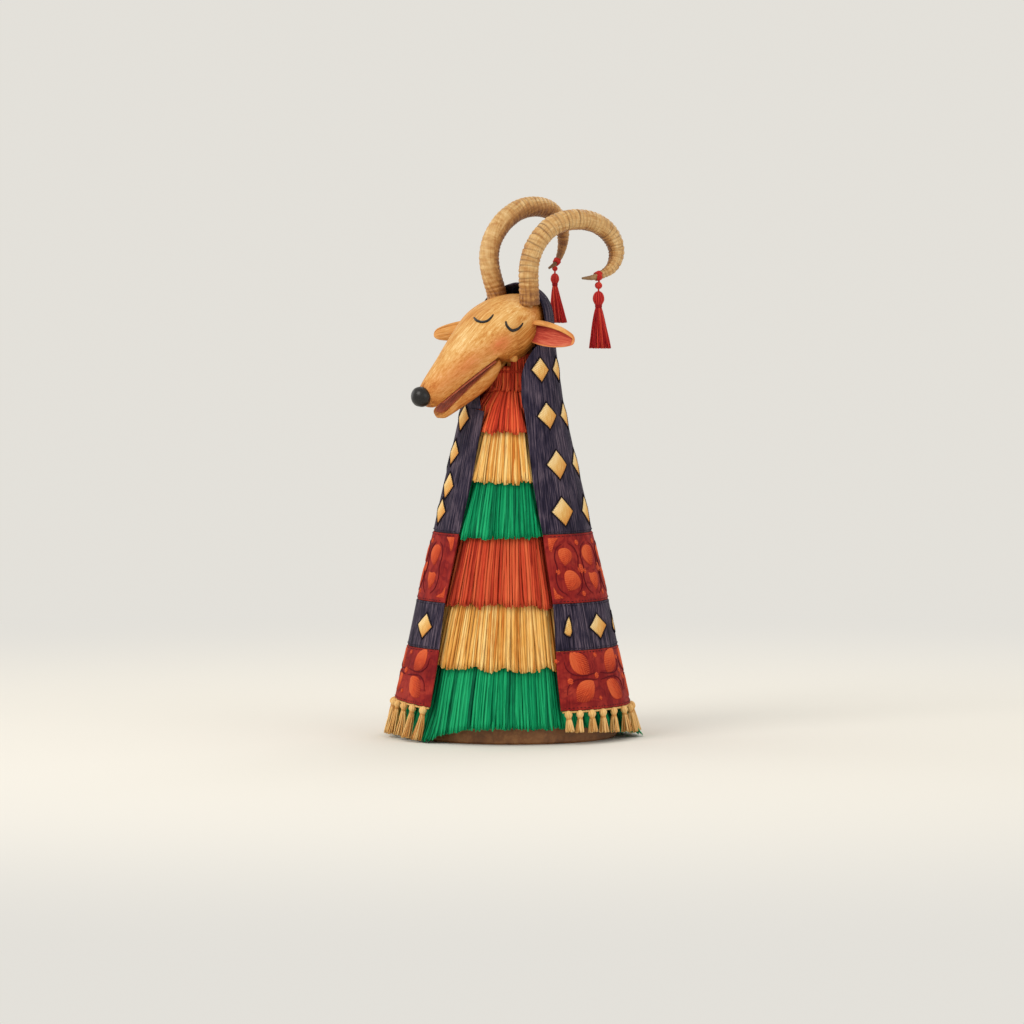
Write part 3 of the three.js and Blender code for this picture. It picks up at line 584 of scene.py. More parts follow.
# polar strands hanging round the Z axis
def strands(acc, th, z0, z1, rfun, w, t, segs=9, rnd=None, sway=0.0, twist=0.5, tip=0.5, seed=3, zmin=0.4):
    g = np.random.default_rng(seed)
    N = len(th)
    u = np.linspace(0, 1, segs + 1)[None]
    th, z0, z1 = (np.broadcast_to(np.asarray(x, float), (N,)) for x in (th, z0, z1))
    Z = z0[:, None] + (z1 - z0)[:, None] * u
    ph = g.uniform(0, 2 * PI, (N, 2))
    amp = g.uniform(0.3, 1.0, (N, 1))
    bend = amp * (np.sin(u * 3.1 + ph[:, :1]) - np.sin(ph[:, :1])) * u
    R, off = rfun(Z, th[:, None] + 0 * u, u)
    TH = th[:, None] + sway * bend / np.maximum(R, 8)
    c = np.stack([R * np.cos(TH), R * np.sin(TH), np.maximum(Z, zmin)], -1)
    er = np.stack([np.cos(TH), np.sin(TH), 0 * TH], -1)
    et = np.stack([-np.sin(TH), np.cos(TH), 0 * TH], -1)
    a = twist * (np.sin(u * 2.3 + ph[:, 1:]) + g.uniform(-0.7, 0.7, (N, 1)))
    W = np.broadcast_to(np.asarray(w, float), (N,))[:, None] * (1 - tip * np.clip((u - 0.88) / 0.12, 0, 1) ** 1.5)
    T = np.broadcast_to(np.asarray(t, float), (N,))[:, None] * (1 + 0 * u)
    wv = et * np.cos(a)[..., None] + er * np.sin(a)[..., None]
    tv = -et * np.sin(a)[..., None] + er * np.cos(a)[..., None]
    P = np.stack([c + wv * W[..., None] / 2, c + tv * T[..., None] / 2, c - wv * W[..., None] / 2, c - tv * T[..., None] / 2], 2)
    P[..., 2] = np.maximum(P[..., 2], zmin)
    S = segs + 1
    base = (np.arange(N) * S * 4)[:, None, None]
    k = (np.arange(segs) * 4)[None, :, None]
    j = np.arange(4)[None, None]
    j2 = (j + 1) % 4
    q = np.stack([base + k + j, base + k + 4 + j, base + k + 4 + j2, base + k + j2], -1).reshape(-1, 4)
    cap0 = (np.arange(N) * S * 4)[:, None] + np.array([0, 1, 2, 3])[None]
    cap1 = (np.arange(N) * S * 4)[:, None] + (S - 1) * 4 + np.array([3, 2, 1, 0])[None]
    rn = g.uniform(0, 1, N) if rnd is None else np.asarray(rnd, float)
    RN = np.broadcast_to(rn[:, None, None], (N, S, 4)).reshape(-1)
    pc = np.zeros((N, S, 4, 3))
    pc[..., 0] = (np.arange(N) * 7.31)[:, None, None]
    pc[..., 1] = (z0[:, None] - Z)[..., None]
    pc[..., 2] = (np.array([0.5, 0, -0.5, 0])[None, None] * W[..., None])
    acc.add(P.reshape(-1, 3), np.concatenate([q, cap0, cap1]), rnd=RN, pc=pc.reshape(-1, 3))


# --------------------------------------------------- shared object geometry
def cloak_r(z):
    return 140.5 - 0.2185 * np.asarray(z, float)


BANDS = [35.0, 101.0, 152.0, 227.0, 366.0]
OPEN_Z = [0, 80, 145, 226, 285, 330, 367]
OPEN_A = [34, 33.4, 34.6, 32, 27, 25.5, 22.5]
YAW = math.radians(-133)


def cl_r(z):
    """Mean outer radius of the cloth, a little inside the clearance cone."""
    return cloak_r(z) - np.interp(z, [30, 110, 157, 200, 228, 270, 316, 366], [3.0, 2.6, 1.9, 2.6, 3.5, 3.3, 4.0, 4.0])


def tuck(z, th):
    """How far the raffia is pressed in where the cloak lies on it."""
    d = np.degrees(np.abs(((th + PI / 2 + PI) % (2 * PI)) - PI))
    u = np.clip((d - np.interp(z, OPEN_Z, OPEN_A) + 3.5) / 5.0, 0, 1)
    return 3.3 * u * u * (3 - 2 * u)


HF = np.array([math.cos(YAW), math.sin(YAW)])
POLL = np.array([-10.3, 5.4, 482.5])


def head_to_world(p):
    p = np.asarray(p, float)
    x, y = p[..., 0], p[..., 1]
    return np.stack([x * HF[0] - y * HF[1], x * HF[1] + y * HF[0], p[..., 2]], -1)


def skull_to_head(p):
    p = np.asarray(p, float)
    r, q = math.radians(-8), math.radians(36)
    x, y, z = p[..., 0], p[..., 1], p[..., 2]
    y, z = y * math.cos(r) - z * math.sin(r), y * math.sin(r) + z * math.cos(r)
    x, z = x * math.cos(q) + z * math.sin(q), -x * math.sin(q) + z * math.cos(q)
    return np.stack([x, y, z], -1) + POLL


def skull(p):
    """Skull frame to world, with the muzzle drooping slightly toward the nose."""
    p = np.asarray(p, float)
    k = np.clip((p[..., :1] - 50) / 123, 0, 1.1) ** 1.5
    return head_to_world(skull_to_head(p + k * np.array([2.0, 1.7, -4.3])))


# --------------------------------------------------------------- the tiers
def lobes(seed, lo, hi, amp):
    """Scalloped hem height by angle: rounded tongues between short notches."""
    g = np.random.default_rng(seed)
    edges = [0.0]
    while edges[-1] < 2 * PI:
        edges.append(edges[-1] + g.uniform(lo, hi))
    edges = np.array(edges)
    edges *= 2 * PI / edges[-1]
    depth = g.uniform(0.4, 1.0, len(edges))
    drop = g.uniform(-0.5, 0.5, len(edges))

    def f(th):
        t = np.mod(th, 2 * PI)
        k = np.clip(np.searchsorted(edges, t, side="right") - 1, 0, len(edges) - 2)
        u = (t - edges[k]) / (edges[k + 1] - edges[k])
        return amp * depth[k] * (1 - np.sin(PI * np.clip(u, 0, 1)) ** 0.6) + amp * drop[k] * np.sin(PI * u)
    return f


def make_tier(name, key, z_bot, z_top, mat, slot, prof, lobe_mm=(10, 22), amp=5.0, zshift=None, wave=0.0, seed=1, gap=0.75, width=(2.2, 4.2), extra=0.8, node=None):
    """prof(z, th) is the outer radius. Strands over a pleated backing, closed all round."""
    g = np.random.default_rng(seed)
    acc = Acc()
    rb = float(np.mean(prof(np.array([z_bot]), np.array([-PI / 2]))))
    f1 = lobes(seed, lobe_mm[0] / rb, lobe_mm[1] / rb, amp)
    f2 = lobes(seed + 50, 2.6 * lobe_mm[0] / rb, 2.2 * lobe_mm[1] / rb, wave)

    def f(t):
        return f1(t) + f2(t) - 0.35 * wave
    front = math.radians(46)

    def hem(th):
        d = f(th)
        return z_bot - 1.0 + d + (0 if zshift is None else zshift(th))
    pk = np.array([61, 97, 143])
    pp = g.uniform(0, 2 * PI, 3)

    def pleat(z, th):
        s = np.clip((z_top - z) / (z_top - z_bot), 0, 1)
        return s * (0.55 * np.sin(pk[0] * th + pp[0]) + 0.4 * np.sin(pk[1] * th + pp[1]) + 0.25 * np.sin(pk[2] * th + pp[2]))
    # backing cloth of short fibres
    nc, nr = 420, 16
    th = np.linspace(0, 2 * PI, nc, endpoint=False)
    u = np.linspace(0, 1, nr)[:, None]
    zb = np.maximum(hem(th) + 2.2, 1.2)
    Z = z_top - 1.5 + (zb - z_top + 1.5)[None] * u
    TH = th[None] + 0 * Z
    Ro = prof(Z, TH) - 2.9 + pleat(Z, TH)
    Ri = Ro - 1.0
    rings = np.concatenate([np.stack([Ro * np.cos(TH), Ro * np.sin(TH), Z], -1), np.stack([Ri * np.cos(TH), Ri * np.sin(TH), Z], -1)[::-1]])
    # painted shade: the backing's tone dips in the hollows of one of its pleat waves
    rn = np.broadcast_to(0.25 + 0.3 * np.sin(pk[1] * th + pp[1])[None], rings.shape[:2])
    pc = np.stack([np.broadcast_to(th[None] * rb, rings.shape[:2]), rings[..., 2], 0 * rings[..., 0]], -1)
    loops(acc, rings, True, rnd=rn.reshape(-1), pc=pc.reshape(-1, 3))
    # strands in layers, dense where the cloak is open
    for layer, off in enumerate((2.1, 1.3, 0.55, 0.0)):
        arc = 2 * front * rb
        nf = int(arc / (gap * 4))
        tf = -PI / 2 + (np.arange(nf) + g.uniform(0.1, 0.9, nf)) / nf * 2 * front - front
        nb = int((2 * PI - 2 * front) * rb / 9.0) if layer in (0, 3) else 0
        tb = -PI / 2 + front + (np.arange(nb) + g.uniform(0.2, 0.8, nb)) / max(nb, 1) * (2 * PI - 2 * front)
        t = np.concatenate([tf, tb])
        wd = np.concatenate([g.uniform(width[0], width[1], nf), g.uniform(6, 9, nb)])
        N = len(t)
        zb = hem(t) + g.normal(0, 0.8, N) + 0.4 * off
        zt = z_top - g.uniform(0, 3, N)

        def rf(Z, TH, U, off=off):
            inside = np.abs(((TH + PI / 2 + PI) % (2 * PI)) - PI) < math.radians(30)
            return prof(Z, TH) - off + pleat(Z, TH) * 0.8 + np.where(inside, extra * np.sin(PI * np.clip(U * 0.75, 0, 1)), -0.35), 0
        strands(acc, t, zt, zb, rf, wd, g.uniform(0.5, 0.8, N), segs=10, sway=1.1, twist=0.32, tip=0.45, seed=seed * 11 + layer)
    ob = acc.build(name, mat)
    return done(ob, "stand", slot, node or key)


def cone_prof(z_bot, z_top):
    zm = z_top - 16
    pts = [(z_bot, cloak_r(z_bot) - 3.6), (zm, cloak_r(zm) - 9.6), (z_top, cloak_r(z_top) - 11.4)]
    xs, ys = [p[0] for p in pts], [float(p[1]) for p in pts]
    return lambda z, th: np.interp(z, xs, ys) - tuck(z, th)


def red_prof(z, th):
    return np.interp(z, [336, 341, 355, 367, 387], [63.4, 62.2, 54.4, 46.3, 27.6]) - 2.1 * tuck(z, th) * np.clip((366 - z) / 12, 0, 1)


def green_prof(z, th):
    d = np.degrees(np.abs(((th + PI / 2 + PI) % (2 * PI)) - PI))
    off = np.clip(d / 33, 0, 1)
    belly = 0.5 + 0.5 * np.cos(PI * off)
    base = np.interp(z, [2, 74, 90], [cloak_r(2) - 8.6, cloak_r(74) - 10.2, cloak_r(90) - 11.6])
    low = np.interp(z, [2, 74, 90], [7.0, 2.0, 0.0])
    # the corner behind the last tassels swings out past the hem
    a = np.degrees(((th + PI) % (2 * PI)) - PI)
    flare = np.exp(-((a - 6) / 11.0) ** 2) + 0.35 * np.exp(-((a + 16) / 16.0) ** 2) + 0.5 * np.exp(-((a + 123) / 5.0) ** 2)
    return base - 0.6 * tuck(z, th) * np.clip(z / 40, 0, 1) + belly * low + flare * 13.5 * np.clip((34 - z) / 34, 0, 1) ** 1.3


def green_hem(th):
    a = np.degrees(((th + PI) % (2 * PI)) - PI)
    up = np.interp(a, [-180, -132, -125, -116, -104, -80, -58, -40, -22, -4, 4, 180], [4, 3.5, -0.5, 8, 15, 17, 16.5, 14, 9, 3, 0.5, 4])
    return up


make_tier("raffia_tier_1", "tier_1_red", 341, 387, M["red"], "raffia_red", red_prof, (8, 15), 3.0, zshift=lambda th: -2.6, seed=5, gap=0.6, node="tier_1_red")
make_tier("raffia_tier_2", "tier_2_cream", 285, 347, M["cream"], "raffia_cream", cone_prof(285, 347), (9, 17), 3.4, zshift=lambda th: -0.4, wave=2.5, seed=6, gap=0.65, node="tier_2_cream")
make_tier("raffia_tier_3", "tier_3_green", 221, 295, M["green"], "raffia_green", cone_prof(221, 295), (9, 18), 3.6, zshift=lambda th: 3.0, wave=6.0, seed=7, gap=0.7, node="tier_3_green")
make_tier("raffia_tier_4", "tier_4_orange", 149, 231, M["orange"], "raffia_orange", cone_prof(149, 231), (10, 24), 3.6, zshift=lambda th: 1.5, wave=6.0, seed=8, gap=0.75, node="tier_4_orange")
make_tier("raffia_tier_5", "tier_5_cream", 78, 159, M["cream"], "raffia_cream", cone_prof(78, 159), (12, 30), 3.8, zshift=lambda th: 3.5, wave=7.0, seed=9, gap=0.75, node="tier_5_cream")
make_tier("raffia_tier_6", "tier_6_green", 2, 90, M["green"], "raffia_green", green_prof, (14, 34), 1.6, zshift=green_hem, seed=10, gap=0.75, node="tier_6_green")


# straw core and its twine
def core_r(z):
    return np.interp(z, [30.4, 120, 210, 300, 340, 349], [cloak_r(30.4) - 21.5, cloak_r(120) - 15.5, cloak_r(210) - 15.5, cloak_r(300) - 15.5, 46, 38.5])


def make_core():
    g = np.random.default_rng(4)
    acc = Acc()
    nc = 240
    th = np.linspace(0, 2 * PI, nc, endpoint=False)
    Z = np.array([30.5, 60, 120, 180, 240, 300, 340, 349.5, 349.6, 200, 43.5, 43.2, 30.5])[:, None] + 0 * th[None]
    R = np.concatenate([core_r(Z[:8]) - 2.4, 12 + 0 * Z[8:11], 22.2 + 0 * Z[11:]])
    TH = th[None] + 0 * Z
    rings = np.stack([R * np.cos(TH), R * np.sin(TH), Z], -1)
    loops(acc, rings, True, rnd=np.full(rings.shape[0] * nc, 0.3), pc=np.stack([th[None] * 60 + 0 * Z, Z, 0 * Z], -1).reshape(-1, 3))
    N = 210
    t = (np.arange(N) + g.uniform(0, 1, N)) / N * 2 * PI
    strands(acc, t, 349 - g.uniform(0, 2, N), 31 + g.uniform(0, 2, N), lambda Z, TH, U: (core_r(Z) - 1.6, 0), g.uniform(2.4, 3.6, N), 2.2, segs=12, sway=1.5, twist=0.2, tip=0.1, seed=12)
    return done(acc.build("straw_bundle", M["straw"]), "stand", "bound_straw", "straw_core")


make_core()
for k, z in ((1, 302.0), (2, 172.0), (3, 102.0)):
    acc = Acc()
    th = np.linspace(0, 2 * PI, 420, endpoint=False)
    for dz in (-1.3, 0.0, 1.3):
        r = float(core_r(z)) + 1.2
        rope(acc, np.stack([r * np.cos(th), r * np.sin(th), z + dz + 0 * th], -1), 0.75, closed=True, pitch=4.0, sides=5)
    done(acc.build(f"twine_wrap_{k}", M["twine"]), "stand", "twine", f"twine_tie_{k}")


# ---------------------------------------------------------- cloak and hood
FOLD_P = np.array([0.7, 2.9, 4.4, 1.3])


def fold(th, z):
    s = np.interp(z, [0, 60, 227, 366, 400, 520], [1.0, 0.95, 0.6, 0.25, 0.1, 0.0])
    w = 0.9 * (1 + np.cos(9 * th + FOLD_P[0])) / 2 + 0.7 * (1 + np.cos(15 * th + FOLD_P[1])) / 2 + 0.35 * np.cos(27 * th + FOLD_P[2] + z * 0.01)
    return s * w


HOOD = np.array([[56.53, 366.0], [53.2, 390], [50.3, 410], [47.9, 430], [46.2, 450], [45.6, 462], [43, 476], [37, 487], [27, 495.5], [14, 500.3], [8.9, 501.0]])


def hem_lift(th, z):
    """The lower edge of the cloak hangs a little higher toward the goat's off side."""
    a = np.degrees(((np.asarray(th) + PI / 2 + PI) % (2 * PI)) - PI) - 90
    k = np.interp(a, [-270, -225, -180, -160, -127, -112, -60, 0, 90], [1.5, 3.0, 6.0, 7.5, 4.0, 3.0, 1.5, 1.5, 1.5])
    return k * np.clip((101 - np.asarray(z)) / 66, 0, 1)


def hood_line(n):
    low = np.array([[float(cl_r(z)), z] for z in np.linspace(227.3, 355, 12)])
    pts = np.concatenate([low, HOOD])
    pts = np.concatenate([pts, 0 * pts[:, :1]], 1)
    c, s = catmull(pts, n)
    return c[:, 0], c[:, 1], s


def edge_right(z, r):
    low = -90 + np.interp(z, OPEN_Z, OPEN_A)
    x = pchip([360, 380, 400, 414, 428, 441, 455, 470, 486, 502], [25.5, 24.6, 22.5, 17.5, 7.5, -7.5, -12.5, -11, -9, -9], z)
    hi = -133 + np.degrees(np.arccos(np.clip(x / r, -1, 1)))
    w = np.clip((z - 360) / 12, 0, 1)
    w = w * w * (3 - 2 * w)
    return low * (1 - w) + hi * w


def edge_left(z, r):
    low = 270 - np.interp(z, OPEN_Z, OPEN_A)
    x = pchip([360, 392, 418, 440, 455, 474, 484, 491, 502], [25, 24, 22, 16.5, 14, 12, 8, 0, -9], z)
    hi = 227 - np.degrees(np.arccos(np.clip(x / r, -1, 1)))
    w = np.clip((z - 360.5) / 9.5, 0, 1)
    w = 0.72 * w * w * (3 - 2 * w) + 0.28 * np.clip((z - 364) / 30, 0, 1)
    return low * (1 - w) + hi * w


def cloth(name, r, z, aR, aL, mat, thick=2.2, ncol=260, edge=(0.0, 0.5, 1.3, 2.4)):
    """A sheet hung round the axis from edge angle aR to aL (degrees, per row)."""
    nr = len(z)
    dz, dr = np.gradient(z), np.gradient(r)
    ln = np.hypot(dz, dr)
    nrm_r, nrm_z = dz / ln, -dr / ln
    cols = np.linspace(0, 1, ncol)[1:-1]
    U = []
    for k in range(nr):
        span = max(1e-3, math.radians(aL[k] - aR[k]) * r[k])
        e = np.array(edge) / span
        e = np.minimum(e, 0.3 * np.array(edge) / (edge[-1] + 1e-9))
        mid = e[-1] + (1 - 2 * e[-1]) * cols
        U.append(np.concatenate([e, mid, 1 - e[::-1]]))
    U = np.array(U)
    nc = U.shape[1]
    TH = np.radians(aR[:, None] + (aL - aR)[:, None] * U)
    ZZ = z[:, None] + 0 * TH
    d_edge = np.minimum(U, 1 - U) * np.radians(aL - aR)[:, None] * r[:, None]
    # the front edges roll out a little
    roll = 1.1 * np.exp(-(d_edge / 5.0) ** 2) * np.interp(z, [0, 350, 400], [1, 0.7, 0.2])[:, None]
    F = fold(TH, ZZ) + roll
    # thin the rim so that the border is rounded
    rowd = np.minimum(np.abs(np.cumsum(ln) - ln[0]), np.abs(np.sum(ln) - np.cumsum(ln)))[:, None] if nr > 4 else np.full((nr, 1), 9.0)
    rim = np.minimum(d_edge, rowd)
    half = thick / 2 * np.sqrt(np.clip(1 - (1 - np.clip(rim / 1.3, 0, 1)) ** 2, 0.04, 1))
    mid_r = r[:, None] - thick / 2 + F
    out = []
    for sgn in (1, -1):
        R = mid_r + sgn * half * nrm_r[:, None]
        Zp = ZZ + sgn * half * nrm_z[:, None] + (hem_lift(TH, ZZ) if z[0] < 60 else 0)
        out.append(np.stack([R * np.cos(TH), R * np.sin(TH), Zp], -1))
    O, I = out
    n = nr * nc
    q = np.concatenate([grid_quads(nr, nc), grid_quads(nr, nc, off=n, flip=True)])
    i = np.arange(nc - 1)
    b = [np.stack([i, i + n, i + 1 + n, i + 1], -1), np.stack([(nr - 1) * nc + i, (nr - 1) * nc + i + 1, (nr - 1) * nc + i + 1 + n, (nr - 1) * nc + i + n], -1)]
    k = np.arange(nr - 1) * nc
    b += [np.stack([k, k + nc, k + nc + n, k + n], -1), np.stack([k + nc - 1, k + nc - 1 + n, k + 2 * nc - 1 + n, k + 2 * nc - 1], -1)]
    acc = Acc()
    arc = TH * 92.0
    pc = np.stack([arc, ZZ, 0 * ZZ], -1).reshape(-1, 3)
    pc2 = pc.copy()
    pc2[:, 0] += 777.0
    acc.add(np.concatenate([O.reshape(-1, 3), I.reshape(-1, 3)]), np.concatenate([q] + b), pc=np.concatenate([pc, pc2]), rnd=0.5)
    ob = acc.build(name, mat)
    # cut area of the cloth, from its middle surface
    m3 = (O + I) / 2
    a = m3[1:, :-1] - m3[:-1, :-1]
    c = m3[:-1, 1:] - m3[:-1, :-1]
    area = np.linalg.norm(np.cross(a, c), axis=-1).sum() * 1e-6
    width = (np.radians(aL - aR) * r).max() * 1e-3
    length = ln.sum() * 1e-3
    return ob, float(area), float(width), float(length)


hr, hz, _ = hood_line(150)
hood, hood_area, hw, hl = cloth("cloak_hood_navy", hr, hz, edge_right(hz, hr), edge_left(hz, hr), M["navy"], ncol=300)
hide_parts("cloak_upper_navy", "hood_navy")
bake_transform(hood)
tc, tlen = catmull([[56.6, 363.5, 0], [55.6, 370, 0], [51.5, 377, 0], [45.5, 383, 0], [41, 388, 0], [38.5, 392, 0]], 40)
tz, tr = tc[:, 1], tc[:, 0]
throat, throat_area, tw, tl = cloth("cloak_throat_navy", tr, tz, np.interp(tz, [362, 370, 380, 392], [-222, -218, -212, -206]), np.interp(tz, [362, 370, 380, 392], [-117, -120, -127, -134]), M["navy"], ncol=120, thick=1.8)
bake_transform(throat)
bands = {}
for name, node, z0, z1, mat, slot in (
        ("band_red_upper", "cloak_band_red_upper", 152.2, 226.9, "crimson", "cloth_crimson"),
        ("band_navy_lower", "cloak_band_navy_lower", 101.2, 151.8, "navy", "cloth_navy"),
        ("band_red_lower", "cloak_band_red_lower", 35.2, 100.8, "crimson", "cloth_crimson")):
    z = np.concatenate([[z0, z0 + 0.4, z0 + 1.1], np.linspace(z0 + 2.2, z1 - 2.2, 34), [z1 - 1.1, z1 - 0.4, z1]])
    r = cl_r(z)
    ob, ar, w, l = cloth(name, r, z, -90 + np.interp(z, OPEN_Z, OPEN_A), 270 - np.interp(z, OPEN_Z, OPEN_A), M[mat], ncol=300)
    done(ob, "stand", slot, node)
    bands[name] = (ob, ar, w, l)


def on_cloak(th, z, d):
    r = np.where(z > 366, np.interp(z, HOOD[:, 1], HOOD[:, 0]), cl_r(z))
    r = r + fold(th, z) + d
    return np.stack([r * np.cos(th), r * np.sin(th), z + hem_lift(th, z)], -1)


def patch(acc, outline, th0, z0, rot=0.0, height=0.85, rnd=0.5, ribs=0.0):
    """A raised cloth shape sewn on the cloak. outline is in mm, star-shaped about its middle."""
    o = np.asarray(outline, float)
    c, s = math.cos(math.radians(rot)), math.sin(math.radians(rot))
    m = len(o)
    ks = np.array([1.0, 0.985, 0.95, 0.86, 0.7, 0.5, 0.25])
    hs = np.array([-0.5, 0.35, 0.62, 0.8, 0.92, 1.0, 1.0]) * height
    ks = np.concatenate([[1.0], ks])
    hs = np.concatenate([[-1.3], hs])
    P = ks[:, None, None] * o[None]
    H = hs[:, None] + ribs * np.cos(2 * PI * (P[..., 1] * 0.34 + np.abs(P[..., 0]) * 0.2)) * (ks < 0.96)[:, None]
    X = P[..., 0] * c - P[..., 1] * s
    Y = P[..., 0] * s + P[..., 1] * c
    z = z0 + Y * 0.977
    rr = np.where(z > 366, np.interp(z, HOOD[:, 1], HOOD[:, 0]), cl_r(z))
    th = math.radians(th0) + X / rr
    V = on_cloak(th, z, H)
    pc = np.stack([P[..., 0], P[..., 1], 0 * P[..., 0]], -1)
    loops(acc, V, False, rnd=np.full(V.shape[:2], rnd), pc=pc)
    line = on_cloak(th[1], z[1], 0.15 + 0 * th[1])
    return line


def resample(pts, n):
    P = np.asarray(pts + [pts[0]], float)
    L = np.concatenate([[0], np.cumsum(np.linalg.norm(np.diff(P, axis=0), axis=1))])
    s = np.linspace(0, L[-1], n, endpoint=False)
    return np.stack([np.interp(s, L, P[:, k]) for k in range(2)], -1)


def diamond(w, h):
    o = resample([(w / 2, 0), (0, h / 2), (-w / 2, 0), (0, -h / 2)], 64)
    return o


def leaf(w, l, fat=0.8, n=64):
    t = np.linspace(0, 1, n // 2, endpoint=False)
    x = w / 2 * np.sin(PI * t) ** fat
    y = l * (t - 0.5)
    return np.concatenate([np.stack([x, y], -1), np.stack([-x, -y], -1)])


def drop(w, l, n=64):
    a = np.linspace(0, 2 * PI, n, endpoint=False)
    y = -np.cos(a) * l / 2
    x = w / 2 * np.sin(a) * np.sin(np.clip(a / 2, 0, PI)) ** 0.9 * 1.25
    return np.stack([x, y], -1)


def disc(r, n=36, sq=0.0):
    a = np.linspace(0, 2 * PI, n, endpoint=False)
    return np.stack([r * np.cos(a), r * (1 + sq) * np.sin(a)], -1)


def edging(acc, line, every=2):
    """A couched cord round a patch, held by small overcast stitches."""
    tube(acc, line, 0.85, 6, True, rnd=0.25)
    mid = line.mean(0)
    for k in range(0, len(line), every):
        p = line[k]
        er = np.array([p[0], p[1], 0.0])
        er /= np.linalg.norm(er)
        inn = mid - p
        inn -= (inn @ er) * er
        inn /= np.linalg.norm(inn) + 1e-9
        u = np.linspace(0, 1, 5)[:, None]
        c = p + inn * (-1.5 + 3.4 * u) + er * (0.05 + 1.0 * np.sin(PI * np.clip(u * 1.05, 0, 1)) ** 0.7)
        tube(acc, c, 0.3 * np.array([0.6, 1, 1, 0.9, 0.5]), 5, rnd=0.4, idx=k)


# cream diamonds on the navy cloth, each edged with a dark couched cord
upper_patch, upper_cord = Acc(), Acc()
cols = -40 + 35.2 * np.arange(8)
rows = [(406.5, -43.0, 25.0, 29.0), (356.0, -39.3, 29.0, 31.0), (302.5, -35.8, 32.0, 34.0), (251.5, -38.0, 32.5, 34.0)]
for ci, cth in enumerate(cols):
    if ci == 7:
        for z, th in ((353.0, -146.5), (314.5, -152.5), (278.5, -148.5), (250.0, -153.0)):
            line = patch(upper_patch, diamond(29, 31), th, z, rnd=RNG.uniform())
            edging(upper_cord, line)
        continue
    for z, th, w, h in rows:
        line = patch(upper_patch, diamond(w, h), cth + (th + 40), z, rot=RNG.uniform(-2.5, 2.5), rnd=RNG.uniform())
        edging(upper_cord, line)
ob = upper_patch.build("diamonds_upper", M["diamond"])
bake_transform(ob)
ob2 = upper_cord.build("diamond_cords_upper", M["thread_dark"])
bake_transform(ob2)
acc, acc2 = Acc(), Acc()
for k in range(6):
    line = patch(acc, diamond(35, 29), -22.1 + 48.3 * k, 125.5, rot=RNG.uniform(-2, 2), rnd=RNG.uniform())
    edging(acc2, line)
    if k < 5:
        line = patch(acc, resample([(2.5, 12.5), (4.6, 3), (4.8, -6), (1.5, -11.5), (-3.5, -10), (-7, -6.5), (-4.5, 0), (-1.5, 7)], 60), -47.0 + 48.3 * k, 127.0, rnd=RNG.uniform())
        edging(acc2, line)
done(acc.build("diamonds_lower", M["diamond"]), "stand", "raffia_cream")
done(acc2.build("diamond_cords_lower", M["thread_dark"]), "stand", "cloth_navy")

# leaves, petals and dots on the red bands
acc = Acc()
for k in range(6):
    c = -30 + 47.7 * k
    for dth, z, rot in ((-12.4, 86.5, 42), (13.4, 87.0, -42), (-10.8, 56.0, -48), (12.8, 55.5, 52)):
        patch(acc, leaf(23, 34, 0.72), c + dth, z, rot + RNG.uniform(-5, 5), rnd=RNG.uniform(), ribs=0.12)
    for dth, z, r in ((0.0, 95.0, 2.6), (-19.5, 67.5, 3.7), (-1.5, 72.5, 3.5), (-1.0, 47.5, 2.4), (22.5, 75.0, 2.8), (-26.0, 90.0, 2.6)):
        if k == 5 and dth > 15:
            continue
        patch(acc, disc(r), c + dth, z, rnd=RNG.uniform(), height=0.9)
for k in range(12):
    c = -41 + 23.27 * k
    big = k % 2
    patch(acc, drop(23 if big else 19, 24 if big else 20), c - (0.5 if big else 1.5), 202.5, -12 if not big else 14, rnd=RNG.uniform(), ribs=0.12)
    patch(acc, drop(25, 24) if not big else resample([(0, -11), (8, -2), (9, 6), (4, 9), (-3, 8), (-9, 9), (-8, 0)], 60), c + 1.2, 175.5, -35 if not big else 0, rnd=RNG.uniform(), ribs=0.12)
    if k < 11:
        for dth, z, r, sq in ((11.6, 217.5, 2.9, 0), (10.9, 189.0, 4.3, 0.25), (10.0, 162.0, 2.7, 0.1), (-8.6, 186.5, 2.9, 0)):
            patch(acc, disc(r, sq=sq), c + dth, z, rnd=RNG.uniform(), height=0.9)
for s in (-1, 1):
    a = -90 + s * (31.8 + 5.0)
    patch(acc, resample([(-s * 4, 7), (s * 9, 7), (s * 3, 1), (-s * 1.5, -9), (-s * 4.5, -6)], 60), a + s * 1.2, 216.5, 0, rnd=0.6)
    patch(acc, resample([(-s * 4, 8), (-s * 1.5, 1), (s * 4, -4), (s * 10, -5.5), (-s * 4.5, -7)], 60), a + s * 0.9, 163.5, 0, rnd=0.4)
done(acc.build("leaf_patches", M["leaf"]), "stand", "cloth_crimson")

# couched scrolls in dark red thread round the motifs
acc = Acc()


def scroll(th0, z0, pts):
    c, _ = catmull([[x, y, 0] for x, y in pts], 30)
    th = math.radians(th0) + c[:, 0] / float(cl_r(z0))
    u = np.linspace(0, 1, len(c))
    tube(acc, on_cloak(th, z0 + c[:, 1], 0.25 + 0 * th), 0.25 + 0.45 * np.sin(PI * u) ** 0.6, 6, rnd=0.3, idx=th0)


for k in range(6):
    c = -30 + 47.7 * k
    for sx, sy in ((1, 1), (-1, 1), (1, -1), (-1, -1)):
        scroll(c + sx * 12.8, 71.5, [(-sx * 24, sy * 4), (-sx * 16, sy * 3), (-sx * 6, sy * 2), (sx * 8, sy * 3), (sx * 17, sy * 9), (sx * 20, sy * 19)])
for k in range(12):
    c = -41 + 23.27 * k
    for sx in (1, -1):
        scroll(c, 190.0, [(sx * 4, 27), (sx * 13, 22), (sx * 17, 12), (sx * 15, 1), (sx * 18, -10), (sx * 15, -22), (sx * 6, -29)])
done(acc.build("scroll_threads", M["thread_wine"]), "stand", "cloth_crimson")
